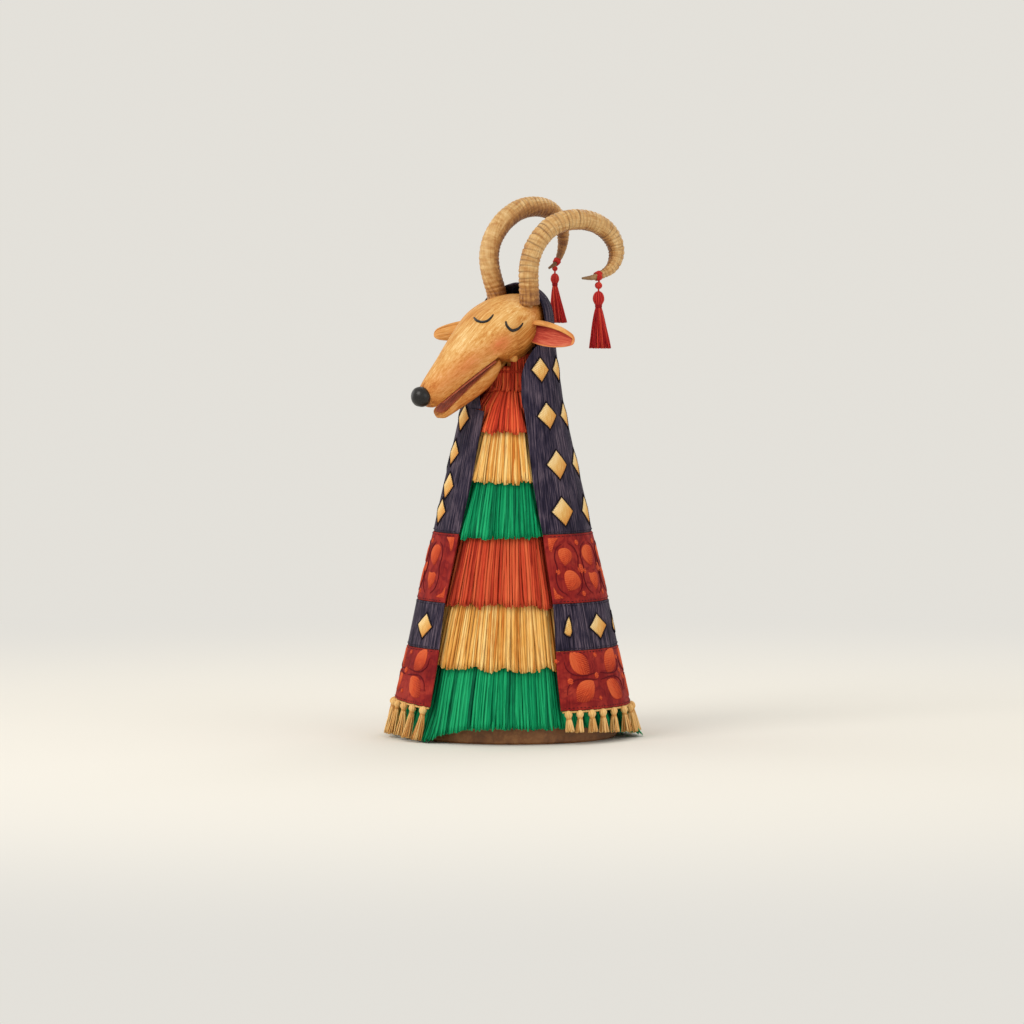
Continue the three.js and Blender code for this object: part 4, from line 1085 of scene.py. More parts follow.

# running stitches beside the seams and along the lower edge
acc = Acc()


def stitches(acc, path_fn, total, step=5.2, length=3.0, r=0.34):
    n = int(total / step)
    for k in range(n):
        u0 = (k * step) / total
        u = u0 + np.linspace(0, length / total, 5)
        c = path_fn(u, 0.45 * np.sin(np.linspace(0, PI, 5)) - 0.1)
        tube(acc, c, r * np.array([0.5, 1, 1, 1, 0.5]), 5, rnd=0.3, idx=k)


for z in (99.0, 103.4, 150.0, 154.4, 224.9, 229.6, 38.2):
    h = float(np.interp(z, OPEN_Z, OPEN_A)) + 1.6
    span = math.radians(360 - 2 * h)
    stitches(acc, lambda u, d, z=z, h=h, span=span: on_cloak(math.radians(-90 + h) + span * u, z + 0 * u, d), span * float(cl_r(z)))
done(acc.build("seam_stitches", M["thread_dark"]), "stand", "cloth_navy")


# -------------------------------------------------------------- hem fringe
def turned_piece(acc, prof, nc, mtx, rnd=0.5, ridge=0.0, nridge=0, swirl=0.0, squeeze=1.0):
    """Lathe of [r, z] points with optional thread ridges; mtx maps local points."""
    prof = np.asarray(prof, float)
    a = np.linspace(0, 2 * PI, nc, endpoint=False)[None]
    R, Z = prof[:, :1], prof[:, 1:]
    zz = (Z - prof[:, 1].min()) / (np.ptp(prof[:, 1]) + 1e-6)
    rr = R * (1 + ridge * np.sin(nridge * a + swirl * zz))
    rings = np.stack([rr * np.cos(a), rr * np.sin(a) * squeeze, Z + 0 * a], -1)
    pc = np.stack([a * 3 + 0 * Z, Z + 0 * a, 0 * a + 0 * Z], -1)
    loops(acc, mtx(rings), False, rnd=np.clip(rnd + (0.4 * np.sin(nridge * a + swirl * zz) if nridge else 0) + 0 * rings[..., 0], 0, 1), pc=pc)


def skirt(acc, mtx, r0, r1, z0, z1, n, w, seed, segs=7, bell=0.7, lean=(0, 0), rag=1.2, t=0.8, zmin=-999):
    """A bunch of yarns from radius r0 at z0 to r1 at z1."""
    g = np.random.default_rng(seed)
    k = np.sqrt((np.arange(n) + 0.5) / n)
    th = np.arange(n) * 2.39996 + g.uniform(-0.2, 0.2, n)
    tmp = Acc()

    def rf(Z, TH, U):
        return (r0 + (r1 - r0) * U ** bell) * (0.25 + 0.75 * k[:, None]), 0
    strands(tmp, th, z0 - g.uniform(0, 0.6, n), z1 + g.uniform(0, rag, n), rf, g.uniform(w * 0.8, w * 1.25, n), t * w, segs=segs, sway=0.9, twist=1.2, tip=0.3, seed=seed + 1, zmin=-1e9)
    v = tmp.v[0]
    U = np.clip((z0 - v[:, 2]) / (z0 - z1), 0, 1)
    v = v + np.stack([lean[0] * U ** 1.4, lean[1] * U ** 1.4, 0 * U], -1)
    v = mtx(v)
    if zmin > -900:
        v[:, 2] = np.maximum(v[:, 2], zmin)
    rn = tmp.a["rnd"][0][2]
    pc = tmp.a["pc"][0][2].copy()
    pc[:, 0] += seed * 31.7
    acc.add(v, tmp.q[0], rnd=rn, pc=pc)


BALL = [(0.02, 4.3), (1.6, 4.0), (3.1, 2.9), (4.1, 1.0), (4.25, -0.6), (3.6, -2.4), (2.5, -3.9), (2.1, -4.6), (0.02, -4.8)]


def hem_tassel(acc, th_deg, seed):
    g = np.random.default_rng(seed)
    a = math.radians(th_deg)
    deg = ((th_deg + 270) % 360) - 270
    low = float(np.interp(deg, [-270, -180, -160, -112, -60, -52, -30, -8, 10, 90], [3, 3, 3, 2.5, 13, 14, 10, 6, 3, 3]))
    rise = float(hem_lift(a, 35.0))
    top = 31.4 + rise
    lean = 5.0 if deg < -112 else 0.0
    r = float(cl_r(34)) + fold(np.array([a]), np.array([36.0]))[0] + 0.2
    tilt = math.radians(8 + g.uniform(-3, 3))
    side = math.radians(g.uniform(-6, 6))

    def mtx(p):
        x, y, z = p[..., 0], p[..., 1], p[..., 2]
        x, z = x * math.cos(tilt) - z * math.sin(tilt), x * math.sin(tilt) + z * math.cos(tilt)
        y = y - z * math.sin(side)
        x = x + r + 0.8
        return np.stack([x * math.cos(a) - y * math.sin(a), x * math.sin(a) + y * math.cos(a), z + top], -1)
    k = g.uniform(0.93, 1.08)
    turned_piece(acc, np.array(BALL) * [k, 1.0], 22, mtx, rnd=g.uniform(0.5, 0.9), ridge=0.055, nridge=9, swirl=3.0)
    for dz in (-4.3, -5.4):
        t = np.linspace(0, 2 * PI, 16, endpoint=False)
        tube(acc, mtx(np.stack([2.45 * np.cos(t), 2.45 * np.sin(t), dz + 0 * t], -1)), 0.62, 5, True, rnd=0.25)
    ln = top - low
    skirt(acc, mtx, 2.1, 5.6 * g.uniform(0.92, 1.08) * (0.75 + 0.25 * ln / 28), -4.6, -ln + g.uniform(-1.0, 1.0), 22, 1.9, seed + 500, segs=6, bell=0.75, rag=1.6, zmin=0.5, lean=(0.0, -lean))


def header(acc, a0, a1):
    t = np.radians(np.linspace(a0, a1, 90))
    r = cl_r(34) + fold(t, 36.0) - 1.1
    rope(acc, np.stack([r * np.cos(t), r * np.sin(t), 33.8 + hem_lift(t, 35.0)], -1), 1.15, pitch=5.5, sides=6, rnd=0.6)


fringes = {
    "hem_fringe_right": ([-52.6, -46.2, -39.2, -31.3, -22.4, -12.4, -1.5], -55.2, 4.0),
    "hem_fringe_back_right": (list(8.0 + 7.2 * np.arange(12)), 4.0, 91.0),
    "hem_fringe_back_left": (list(94.5 + 7.2 * np.arange(12)), 91.0, 177.5),
    "hem_fringe_left": ([181.0, 189.0, 197.5, 206.5, 214.5, 223.2, 232.2], 177.5, 235.2),
}
for i, (node, (angles, a0, a1)) in enumerate(fringes.items()):
    acc = Acc()
    for j, a in enumerate(angles):
        hem_tassel(acc, a, 1000 + i * 100 + j)
    header(acc, a0, a1)
    done(acc.build(node + "_yarn", M["hem"]), "stand", "raffia_cream", node)


# ------------------------------------------------------------- carved head
ST = np.array([
    [-12, -3, -14, -26, 12, 2.2, 2.2], [-8, 1.5, -14, -32, 20, 2.2, 2.2], [0, 8, -10, -38, 28, 2.3, 2.2],
    [14, 15.5, -8, -43, 35, 2.5, 2.2], [30, 21, -7, -46, 39.5, 2.6, 2.2], [46, 24, -6, -46, 40.5, 2.6, 2.2],
    [58, 25, -5, -42, 39, 2.6, 2.3], [68, 25, -4, -33, 36.5, 2.6, 2.6], [76, 24.6, -4, -20, 34, 2.6, 4],
    [80, 24.2, -4, -15.5, 32.6, 2.6, 5], [96, 22.8, -3.5, -15.5, 28, 2.5, 5], [113, 20.2, -3, -15.5, 23.6, 2.4, 5],
    [130, 17, -3, -15.5, 19.6, 2.3, 5], [146, 14, -3, -15.5, 16.2, 2.3, 5], [160, 11.2, -3, -15.5, 13.4, 2.2, 4.5],
    [168, 8.8, -3, -15.5, 11, 2.2, 3.5], [171, 5.5, -3, -13.5, 8, 2.2, 2.6]])


def station(s):
    return [pchip(ST[:, 0], ST[:, k], s) for k in range(1, 7)]


def head_pt(s, t, d=0.0):
    """Point on the head at station s and section angle t, lifted d outward."""
    top, mid, bot, b, nu, nl = station(s)
    c, q = np.cos(t), np.sin(t)
    up = q >= 0
    p = np.where(up, nu, nl)
    h = np.where(up, top - mid, mid - bot)
    y = b * np.sign(c) * np.abs(c) ** (2 / p)
    z = mid + h * np.sign(q) * np.abs(q) ** (2 / p)
    L = np.hypot(y, z - mid) + 1e-9
    return np.stack([s + 0 * y, y + d * y / L, z + d * (z - mid) / L], -1)


def head_angle(P):
    s, y, z = P[:, 0], P[:, 1], P[:, 2]
    top, mid, bot, b, nu, nl = station(s)
    up = z >= mid
    p = np.where(up, nu, nl)
    h = np.where(up, top - mid, mid - bot)
    c = np.sign(y) * np.clip(np.abs(y) / b, 0, 1.2) ** (p / 2)
    q = np.sign(z - mid) * np.clip(np.abs(z - mid) / h, 0, 1.2) ** (p / 2)
    return np.arctan2(q, c)


EYES = {"left": [[52.7, 30.9, 16.8], [55.4, 34.1, 13.8], [53.9, 37.5, 7.6], [47.4, 39.1, 4.8], [41.2, 39.0, 4.5], [37.2, 38.3, 5.2]],
        "right": [[64.8, -1.9, 24.8], [68.3, 5.2, 24.8], [68.3, 11.9, 24.1], [64.7, 16.4, 23.4], [58.1, 17.1, 23.3], [53.2, 15.9, 23.2]]}


def gauss(P, c, r):
    return np.exp(-(((P - np.array(c)) / np.array(r)) ** 2).sum(-1))


def make_head():
    acc = Acc()
    s = np.concatenate([[-12, -11.6, -10.6, -9], np.linspace(-7, 168, 176), [169.2, 170.2, 170.8, 171]])
    n = 144
    t = np.linspace(0, 2 * PI, n, endpoint=False)
    S, T = np.meshgrid(s, t, indexing="ij")
    P = head_pt(S, T)
    # soft lids, brow and cheek swellings, and a lip line
    lift = 1.5 * gauss(P, (52, 33, 12), (13, 12, 11)) + 1.3 * gauss(P, (60, 8, 25), (12, 11, 12)) + 1.1 * gauss(P, (84, 27, 3), (20, 12, 12))
    lift = lift - 0.7 * gauss(P, (98, 26, -6), (26, 14, 5)) + 0.8 * gauss(P, (150, 0, 12), (22, 12, 10))
    lift = np.where(P[..., 2] > -14, lift, 0) * (np.abs(S - 80) < 92)
    P = head_pt(S, T, lift)
    # painted light and shade: darker on the underside of the head, under the muzzle, toward the muzzle's tip and at
    # both sides of the back of the head; lighter on top over the eyes and along the muzzle
    shade = 0.75 * np.clip((-P[..., 2] - 2) / 26, 0, 1) * (S < 84) + 0.5 * gauss(P, (150, 8, -12), (42, 16, 6)) + 0.55 * np.clip((S - 150) / 20, 0, 1)
    shade = shade + 0.7 * gauss(P, (3, 34, 0), (12, 14, 16)) + 0.45 * gauss(P, (3, -24, 6), (12, 14, 14))
    shade = shade - 0.35 * gauss(P, (60, 20, 22), (34, 16, 16)) - 0.25 * gauss(P, (100, 14, 18), (30, 14, 14))
    blush = 0.85 * gauss(P, (74, 35, 0), (14, 12, 9)) + 0.6 * gauss(P, (112, 20, 3), (26, 14, 10)) + 0.35 * gauss(P, (150, 12, 4), (20, 14, 14)) + 0.35 * gauss(P, (60, -28, 10), (16, 14, 14)) + 0.3 * gauss(P, (14, 32, 4), (14, 12, 12))
    pc = np.stack([S, P[..., 1] + 0.3 * P[..., 2], P[..., 2]], -1)
    loops(acc, skull(P), False, pc=pc, rnd=np.full(S.shape, 0.5), shade=shade, blush=np.clip(blush, 0, 1))
    # neck stem, darkened evenly with painted shade
    a = np.linspace(0, 2 * PI, 64, endpoint=False)[None]
    prof = np.array([[9.2, 400.6], [20.6, 400.6], [21.8, 401.8], [21.8, 440], [9.2, 440]])
    rings = np.stack([prof[:, :1] * np.cos(a), prof[:, :1] * np.sin(a), prof[:, 1:] + 0 * a], -1)
    stem = Acc()
    loops(stem, head_to_world(rings), True, pc=np.stack([a * 20 + 0 * prof[:, :1], prof[:, 1:] + 0 * a, 0 * a + 0 * prof[:, :1]], -1).reshape(-1, 3), rnd=0.5, shade=0.4)
    ob, ob2 = acc.build("head_wood", M["head"]), stem.build("head_stem", M["head"])
    # the jaw slot is cut through both
    cut = Acc()
    b = np.array([[x, y, z] for z in (-90, -15.2) for x, y in ((27, -13), (83.5, -13), (83.5, 13), (27, 13))], float)
    cut.add(skull(b), [[0, 3, 2, 1], [4, 5, 6, 7], [0, 1, 5, 4], [1, 2, 6, 5], [2, 3, 7, 6], [3, 0, 4, 7]])
    cutter = cut.build("slot_cutter", M["head"], smooth=False)
    for o in (ob, ob2):
        md = o.modifiers.new("slot", "BOOLEAN")
        md.object, md.operation, md.solver = cutter, "DIFFERENCE", "EXACT"
        with bpy.context.temp_override(object=o, active_object=o, selected_objects=[o]):
            bpy.ops.object.modifier_apply(modifier=md.name)
    bpy.data.objects.remove(cutter)
    with bpy.context.temp_override(object=ob, active_object=ob, selected_objects=[ob, ob2], selected_editable_objects=[ob, ob2]):
        bpy.ops.object.join()
    return done(ob, "head", "carved_wood", "head_carving")


make_head()

# closed eyes, inlaid as dark arcs with tapering ends
acc = Acc()
for side, pts in EYES.items():
    c, _ = catmull(np.array(pts) + [1.9, 0.4, -1.9], 36)
    t = head_angle(c)
    line = head_pt(c[:, 0], t, 0.0)
    line = head_pt(c[:, 0], t, 1.5 * gauss(line, (52, 33, 12), (13, 12, 11)) + 1.3 * gauss(line, (60, 8, 25), (12, 11, 12)) + 0.15)
    u = np.linspace(0, 1, len(line))
    r = 0.4 + 1.25 * np.sin(PI * np.clip(0.08 + 0.9 * u, 0, 1)) ** 0.55
    tube(acc, skull(line), r, 10)
done(acc.build("eye_lines", M["black"]), "head", "black_paint")

# nose
acc = Acc()
a = np.linspace(0, PI, 40)[:, None]
b = np.linspace(0, 2 * PI, 56, endpoint=False)[None]
nr = 11.2 * (1 - 0.05 * np.cos(2 * a)) * np.clip(np.sin(a), 0.002, 1)
P = np.stack([173.5 + 10.7 * np.cos(a) + 0 * b, nr * np.cos(b), 3 + 0.96 * nr * np.sin(b)], -1)
P[..., 0] -= 1.5 * np.exp(-((P[..., 1] - 0) / 1.2) ** 2) * np.clip(-(P[..., 2] - 3) / 8, 0, 1) * (P[..., 0] > 174)
loops(acc, skull(P), False, rnd=np.full(P.shape[:2], 0.5))
done(acc.build("nose_painted", M["black"]), "head", "black_paint", "nose_ball")


# turned wooden buttons close the ends of the jaw pin
acc = Acc()
for sg in (-1, 1):
    prof = [(0.02, 27.0), (3.6, 27.0), (3.6, 31), (3.6, 33.4), (3.2, 34.2), (2.2, 34.7), (0.02, 34.9)]
    turned_piece(acc, prof, 36, lambda q, sg=sg: skull(np.stack([64 + q[..., 0], sg * q[..., 2], -28 + sg * q[..., 1]], -1)), rnd=0.5)
ob = acc.build("jaw_pin_buttons", M["head"])
done(ob, "head", "carved_wood")


# roof of the mouth
def plate(name, s, half, z0, z1, mat, body, slot, node, rugae=0.25):
    n, k = len(s), 22
    u = np.linspace(-1, 1, k)[None]
    Y = half[:, None] * u
    edge = np.clip((1 - np.abs(u)) / 0.12, 0, 1)
    rip = rugae * np.sin(s[:, None] * 1.15 + 1.5 * u**2)
    top = z1[:, None] - 0.35 * (1 - edge) + rip * edge
    bot = z0[:, None] + 0 * u
    O = np.stack([s[:, None] + 0 * Y, Y, top], -1)
    I = np.stack([s[:, None] + 0 * Y, Y, bot], -1)[:, ::-1]
    rings = np.concatenate([O, I], 1)
    acc = Acc()
    loops(acc, skull(rings), False, pc=rings, rnd=np.full(rings.shape[:2], 0.5))
    return done(acc.build(name, mat), body, slot, node)


s = np.linspace(84.5, 158, 70)
halfw = np.interp(s, [80, 96, 113, 130, 146, 160], [31.6, 27.0, 22.8, 18.8, 15.4, 12.6]) - 2.0
plate("palate_felt", s, halfw, -15.2 + 0 * s, -16.5 + 0 * s, M["mouth"], "head", "mouth_felt", "palate_lining")

# lower jaw
JW = np.array([[80, -19.4, -36, 27], [90, -20.5, -43.5, 25.4], [104, -22, -45.8, 22.4], [120, -23.7, -44.6, 18.8],
               [136, -25.4, -42, 15.2], [150, -26.9, -39.4, 12.2], [160, -28, -37, 10], [165.5, -28.9, -34.5, 7.4]])


def make_jaw():
    acc = Acc()
    s = np.concatenate([[78.6, 79.2, 80.2], np.linspace(82, 164, 90), [165, 165.7, 166]])
    f = [pchip(JW[:, 0], JW[:, k], s) for k in (1, 2, 3)]
    top, bot, w = f
    endw = np.sqrt(np.clip(1 - ((s - 160) / 6.2) ** 2, 0.12, 1)) * (s > 160) + (s <= 160)
    w = w * endw
    bot = top + (bot - top) * (0.5 + 0.5 * endw)
    back = np.clip((s - 77.6) / 3, 0.5, 1)
    w, bot = w * (0.93 + 0.07 * back), top + (bot - top) * (0.8 + 0.2 * back)
    k = 56
    t = np.linspace(0, PI, k)[None]
    y = w[:, None] * np.sign(np.cos(t)) * np.abs(np.cos(t)) ** 0.75
    z = top[:, None] - 1.2 - (top[:, None] - 1.2 - bot[:, None]) * np.sin(t) ** 0.8
    under = np.stack([s[:, None] + 0 * y, y, z], -1)
    uu = np.linspace(-1, 1, 24)[None]
    lip = np.where(np.abs(uu) > 0.9, -0.2, -1.0)
    topy = w[:, None] * uu * 0.985
    topp = np.stack([s[:, None] + 0 * topy, topy, top[:, None] + lip * np.clip((164 - s[:, None]) / 6, 0, 1)], -1)
    rings = np.concatenate([under, topp], 1)
    # painted shade: the jaw darkens toward its underside, on top of an even darkening
    shade = 0.55 * np.clip((-(rings[..., 2] - top[:, None]) - 6) / 16, 0, 1) + 0.25
    pc = np.stack([rings[..., 0], rings[..., 1] + 0.3 * rings[..., 2], rings[..., 2]], -1)
    loops(acc, skull(rings), False, pc=pc, rnd=np.full(rings.shape[:2], 0.5), shade=shade, blush=0.18 * np.ones(rings.shape[:2]))
    # tongue between the cheeks with the eye for the pin and the tail over the post
    poly = [(84, -21), (70, -19.4), (62, -18.8), (55.5, -23.2), (44, -33.7), (37.5, -37.8), (37.5, -41.8), (44, -41.4), (50, -38.4), (57, -36.6), (66, -38.6), (76, -39.3), (84, -38.6)]
    P = resample(poly, 90)
    c = P.mean(0)
    ys = np.array([-12.2, -11.9, -11.2, -8, 8, 11.2, 11.9, 12.2])
    kk = np.array([0.965, 0.99, 1, 1, 1, 1, 0.99, 0.965])
    tail = np.clip((56 - P[:, 0]) / 4, 0, 1)
    rings = np.stack([np.stack([c[0] + (P[:, 0] - c[0]) * q, yy * (1 - 0.44 * tail), c[1] + (P[:, 1] - c[1]) * q], -1) for yy, q in zip(ys, kk)])
    n, m = rings.shape[:2]
    # painted shade: the tongue between the cheeks is darkened evenly
    loops(acc, skull(rings), False, pc=rings, rnd=np.full((n, m), 0.5), shade=np.full((n, m), 0.55))
    ob = acc.build("jaw_wood", M["head"])
    return done(ob, "jaw", "carved_wood", "lower_jaw")


make_jaw()
s = np.linspace(83, 161.5, 74)
jt = pchip(JW[:, 0], JW[:, 1], s)
jwid = pchip(JW[:, 0], JW[:, 3], s) - 2.3
jwid[-6:] *= np.linspace(0.99, 0.72, 6)
plate("jaw_felt", s, jwid, jt - 1.6, jt + 0.35, M["mouth"], "jaw", "mouth_felt", "jaw_lining", rugae=0.15)


# -------------------------------------------------------------------- ears
def make_ear(name, root, tip, width, up, node, lining, roll=3.2, sag=0.0, blunt=0.5, cup=3.0, crease=0.0, flip=1.0):
    """A cupped felt ear. One long edge is rolled over toward the open side."""
    a, b = np.array(root, float), np.array(tip, float)
    d = b - a
    L = np.linalg.norm(d)
    d /= L
    nrm = np.array(up, float)
    nrm -= (nrm @ d) * d
    nrm /= np.linalg.norm(nrm)
    side = np.cross(nrm, d) * flip
    t = 1 - (1 - np.linspace(0, 1, 70)) ** 1.5
    w = width / 2 * np.clip(np.sin(PI * np.minimum(0.9985, 0.2 + 0.8 * t)), 0, 1) ** blunt
    thick = 2.4

    def section(wk, tk, n=60):
        """Open side line of the ear across its width, with the rolled edge, as (x, h)."""
        rho = roll * np.clip(wk / (width / 2), 0.25, 1) * (1 - 0.35 * tk)
        x0 = wk - rho
        v = np.linspace(-wk, x0, n - 22)
        h = cup * (v / (width / 2)) ** 2 - sag * math.sin(PI * tk)
        if crease:
            h = h + crease * np.exp(-((v + 0.15 * wk) / 1.6) ** 2) * np.clip((0.85 - tk) / 0.3, 0, 1)
        ph = np.linspace(0, math.radians(200), 23)[1:]
        xa = x0 + rho * np.sin(ph)
        ha = h[-1] + rho * (1 - np.cos(ph))
        return np.concatenate([v, xa]), np.concatenate([h, ha])
    O, I, ac = [], [], []
    for tk, wk in zip(t, w):
        x, h = section(wk, tk)
        tx, th_ = np.gradient(x), np.gradient(h)
        ln = np.hypot(tx, th_) + 1e-9
        nx, nh = -th_ / ln, tx / ln
        q = np.arange(len(x)) / (len(x) - 1)
        end = np.sqrt(np.clip(1 - (1 - np.clip(np.minimum(q, 1 - q) / 0.05, 0, 1)) ** 2, 0.05, 1)) * math.sqrt(max(0.1, 1 - max(0, (tk - 0.97) / 0.03) ** 2))
        th = min(thick, wk * 0.5) * end
        base = a + d * (L * tk)
        # a small arc toward the tip keeps the outline round
        O.append(base + side * x[:, None] + nrm * h[:, None])
        I.append(base + side * (x - nx * th)[:, None] + nrm * (h - nh * th)[:, None])
        ac.append(q)
    O, I, ac = np.array(O), np.array(I), np.array(ac)
    rings = np.concatenate([O, I[:, ::-1]], 1)
    if flip < 0:
        rings = rings[:, ::-1]
    n, m = rings.shape[:2]
    tt = np.broadcast_to(t[:, None], (n, m))
    acr = np.concatenate([ac, ac[:, ::-1]], 1)
    if flip < 0:
        acr = acr[:, ::-1]
    pc = np.stack([tt * 60, acr * width, 0 * tt], -1)
    # painted shade: darker at the root, along the line where the edge rolls over, and along the crease where there is
    # one
    shade = 0.6 * np.exp(-(tt / 0.22) ** 2) + 0.5 * np.exp(-((acr - 0.66) / 0.05) ** 2)
    if crease:
        shade = shade + 0.9 * np.exp(-((acr - 0.29) / 0.035) ** 2) * np.clip((0.85 - tt) / 0.3, 0, 1)
    blush = (0.5 * np.clip((0.1 - acr) / 0.1, 0, 1) + 0.3 * np.clip((tt - 0.8) / 0.2, 0, 1) + 0.1) * (0.3 if crease else 1.0)
    acc = Acc()
    loops(acc, skull(rings), False, pc=pc, rnd=np.full((n, m), 0.5), shade=shade, blush=np.clip(blush, 0, 1))
    done(acc.build(name, M["ear"]), "head", "ear_felt", node)
    # pink lining laid in the cup
    O, I, ac = [], [], []
    for tk in 0.94 * t:
        wk = float(np.interp(tk, t, w))
        x, h = section(wk, tk)
        k = len(x) - 18
        x, h = x[2:k], h[2:k]
        q = np.linspace(0, 1, len(x))
        rim = np.clip(np.minimum(q, 1 - q) / 0.08, 0, 1)
        base = a + d * (L * tk)
        rip = 0.12 * np.sin(q * 26 + 3 * tk)
        O.append(base + side * x[:, None] + nrm * (h + 0.15 + 0.5 * np.sqrt(rim) + rip)[:, None])
        I.append(base + side * x[:, None] + nrm * (h - 0.6)[:, None])
        ac.append(q)
    O, I, ac = np.array(O), np.array(I), np.array(ac)
    rings = np.concatenate([O, I[:, ::-1]], 1)
    acr = np.concatenate([ac, ac[:, ::-1]], 1)
    if flip < 0:
        rings, acr = rings[:, ::-1], acr[:, ::-1]
    n, m = rings.shape[:2]
    tt = np.broadcast_to((0.94 * t)[:, None], (n, m))
    pc = np.stack([tt * 60, acr * width, 0 * tt], -1)
    # painted light and shade: darker at the root and toward the rolled edge, lighter toward the far side
    shade = 0.7 * np.exp(-(tt / 0.25) ** 2) + 0.75 * np.clip((acr - 0.55) / 0.45, 0, 1) - 0.35 * np.clip((0.3 - acr) / 0.3, 0, 1)
    acc = Acc()
    loops(acc, skull(rings), False, pc=pc, rnd=np.full((n, m), 0.5), shade=shade)
    done(acc.build(name + "_pink", M["pink"]), "head", "ear_pink", lining)


make_ear("ear_left_cupped", [28.5, 28, -17.5], [22.5, 92.0, -26.0], 24.5, (0.62, 0.45, 0.62), "ear_left", "ear_lining_left", roll=2.8, sag=-1.0, blunt=0.5, cup=3.0)
make_ear("ear_right_cupped", [43.4, -26.5, -9.6], [80.5, -71, 0.4], 18, (-0.58, -0.56, -0.55), "ear_right", "ear_lining_right", roll=2.2, blunt=0.4, cup=4.5, crease=1.5, flip=1.0)


# ------------------------------------------------------------------- horns
HORN_L = [[2.3, 34, 478], [4.3, 35.1, 498.5], [5.1, 36.1, 518.7], [1.9, 37.2, 534.2], [-6, 38.3, 549], [-21.3, 39.4, 564.3], [-41.5, 40.4, 572.3], [-65, 41.5, 573.6], [-85, 42.6, 568.8], [-99.5, 43.7, 559], [-108, 44.7, 545.8], [-109.5, 45.8, 532.4], [-103, 46.9, 519.4], [-90.4, 48, 511.8], [-75.4, 48, 507.5], [-60, 48, 506.5]]
HORN_R = [[3.1, -23, 478], [5.2, -23.9, 492.2], [9.4, -24.9, 505.8], [12.5, -25.8, 519.4], [12.5, -26.8, 532.7], [7.6, -27.7, 547], [-5.8, -28.7, 562.9], [-18.6, -29.6, 571.3], [-32.9, -30.6, 577.6], [-48, -31.5, 580.6], [-63.8, -32.5, 580.4], [-78.4, -33.4, 576.4], [-89.6, -34.4, 568], [-96.3, -35.3, 557.4], [-97.9, -36.3, 545], [-95, -37, 532.8], [-88.8, -37, 523.1], [-78.5, -37, 516.8]]


def horn_line(pts):
    P = np.array(pts, float)
    w = np.clip((P[:, 2] - 520) / 55, 0, 1) ** 1.4
    P[:, 2] += w * (4.6 if P[0, 1] < 0 else -2.8)
    return P


RADII = [11.2, 11, 11, 11, 11, 11.2, 11.4, 11.4, 11.2, 10.8, 9.8, 8.2, 5.8, 3.6, 1.2]


def make_horn(name, pts, node, seed, ring_from, grain_twist):
    g = np.random.default_rng(seed)
    pts = horn_line(pts)
    n, m = 620, 48
    c, s = catmull(pts, n)
    N, B, T = frames(c, (0, 1, 0))
    t = s / s[-1]
    r = pchip(np.linspace(0, 1, len(RADII)), RADII, t)
    a = np.linspace(0, 2 * PI, m, endpoint=False)
    pos, p = [], 6.0
    while p < s[-1] * 0.965:
        pos.append(p)
        p += g.uniform(4.0, 7.6) * (0.7 + 0.3 * (1 - p / s[-1]))
    # the grooves carry dark ring marks: partly the horn's own ring colour, partly painted shade in each groove with a
    # tail that fades out along one side
    groove = np.zeros((n + 1, m))
    tone = np.zeros((n + 1, m))
    for p in pos:
        ph, wob = g.uniform(0, 2 * PI), g.uniform(0.3, 1.0)
        centre = p + wob * np.sin(a + ph) + 0.5 * np.sin(2 * a + ph * 1.7)
        reach = 0.35 + 0.65 * (0.5 + 0.5 * np.cos(a - PI - g.uniform(-0.9, 0.9))) ** g.uniform(0.3, 1.6)
        amp = g.uniform(0.6, 1.0)
        d = s[:, None] - centre[None]
        groove += amp * reach * np.exp(-(d / 0.75) ** 2)
        tone += amp * reach * (np.exp(-(d / g.uniform(0.5, 0.9)) ** 2) + 0.42 * np.exp(-np.clip(d, 0, 99) / 1.9) * (d > 0))
    fade = np.clip((t - ring_from) / 0.12, 0.12, 1)[:, None]
    groove *= fade
    tone *= fade
    swell = 0.22 * np.sin(s[:, None] * 1.25 + 0.8 * np.sin(a)[None])
    R = r[:, None] * (1 + 0.02 * np.sin(3 * a)[None]) - 0.95 * np.clip(groove, 0, 1.2) * np.clip(r / 8, 0.2, 1)[:, None] + swell * np.clip(r / 9, 0, 1)[:, None]
    rings = c[:, None] + R[..., None] * (np.cos(a)[None, :, None] * N[:, None] + np.sin(a)[None, :, None] * B[:, None])
    pc = np.stack([np.broadcast_to(s[:, None], R.shape), (a[None] * 11 + grain_twist * s[:, None] * 0.22) + 0 * R, 0 * R], -1)
    # painted shade: darker near the base, where the horn leaves the head
    shade = np.clip((rings[..., 2].max() - rings[..., 2]) / 200, 0, 1) * 0.0 + 0.75 * np.exp(-(s[:, None] / 22) ** 2) + 0 * R
    # painted shade: the inner side of the bend is darker
    inward = (np.array([-50.0, 0, 530.0]) - c)
    inward /= np.linalg.norm(inward, axis=1)[:, None]
    nv = rings - c[:, None]
    nv /= np.linalg.norm(nv, axis=2)[..., None]
    shade = shade + 0.75 * np.clip((nv * inward[:, None]).sum(-1) + 0.1, 0, 1)
    tip = np.clip((t - 0.86) / 0.12, 0, 1)[:, None] * 0.75 + 0 * R
    acc = Acc()
    loops(acc, head_to_world(rings), False, pc=pc, rnd=np.full(R.shape, 0.5), ring=np.clip(tone, 0, 1), tip=tip, shade=shade)
    return done(acc.build(name, M["horn"]), "head", "horn", node)


make_horn("horn_left_ringed", HORN_L, "horn_left", 21, 0.0, 0.0)
make_horn("horn_right_ringed", HORN_R, "horn_right", 22, 0.36, 1.0)


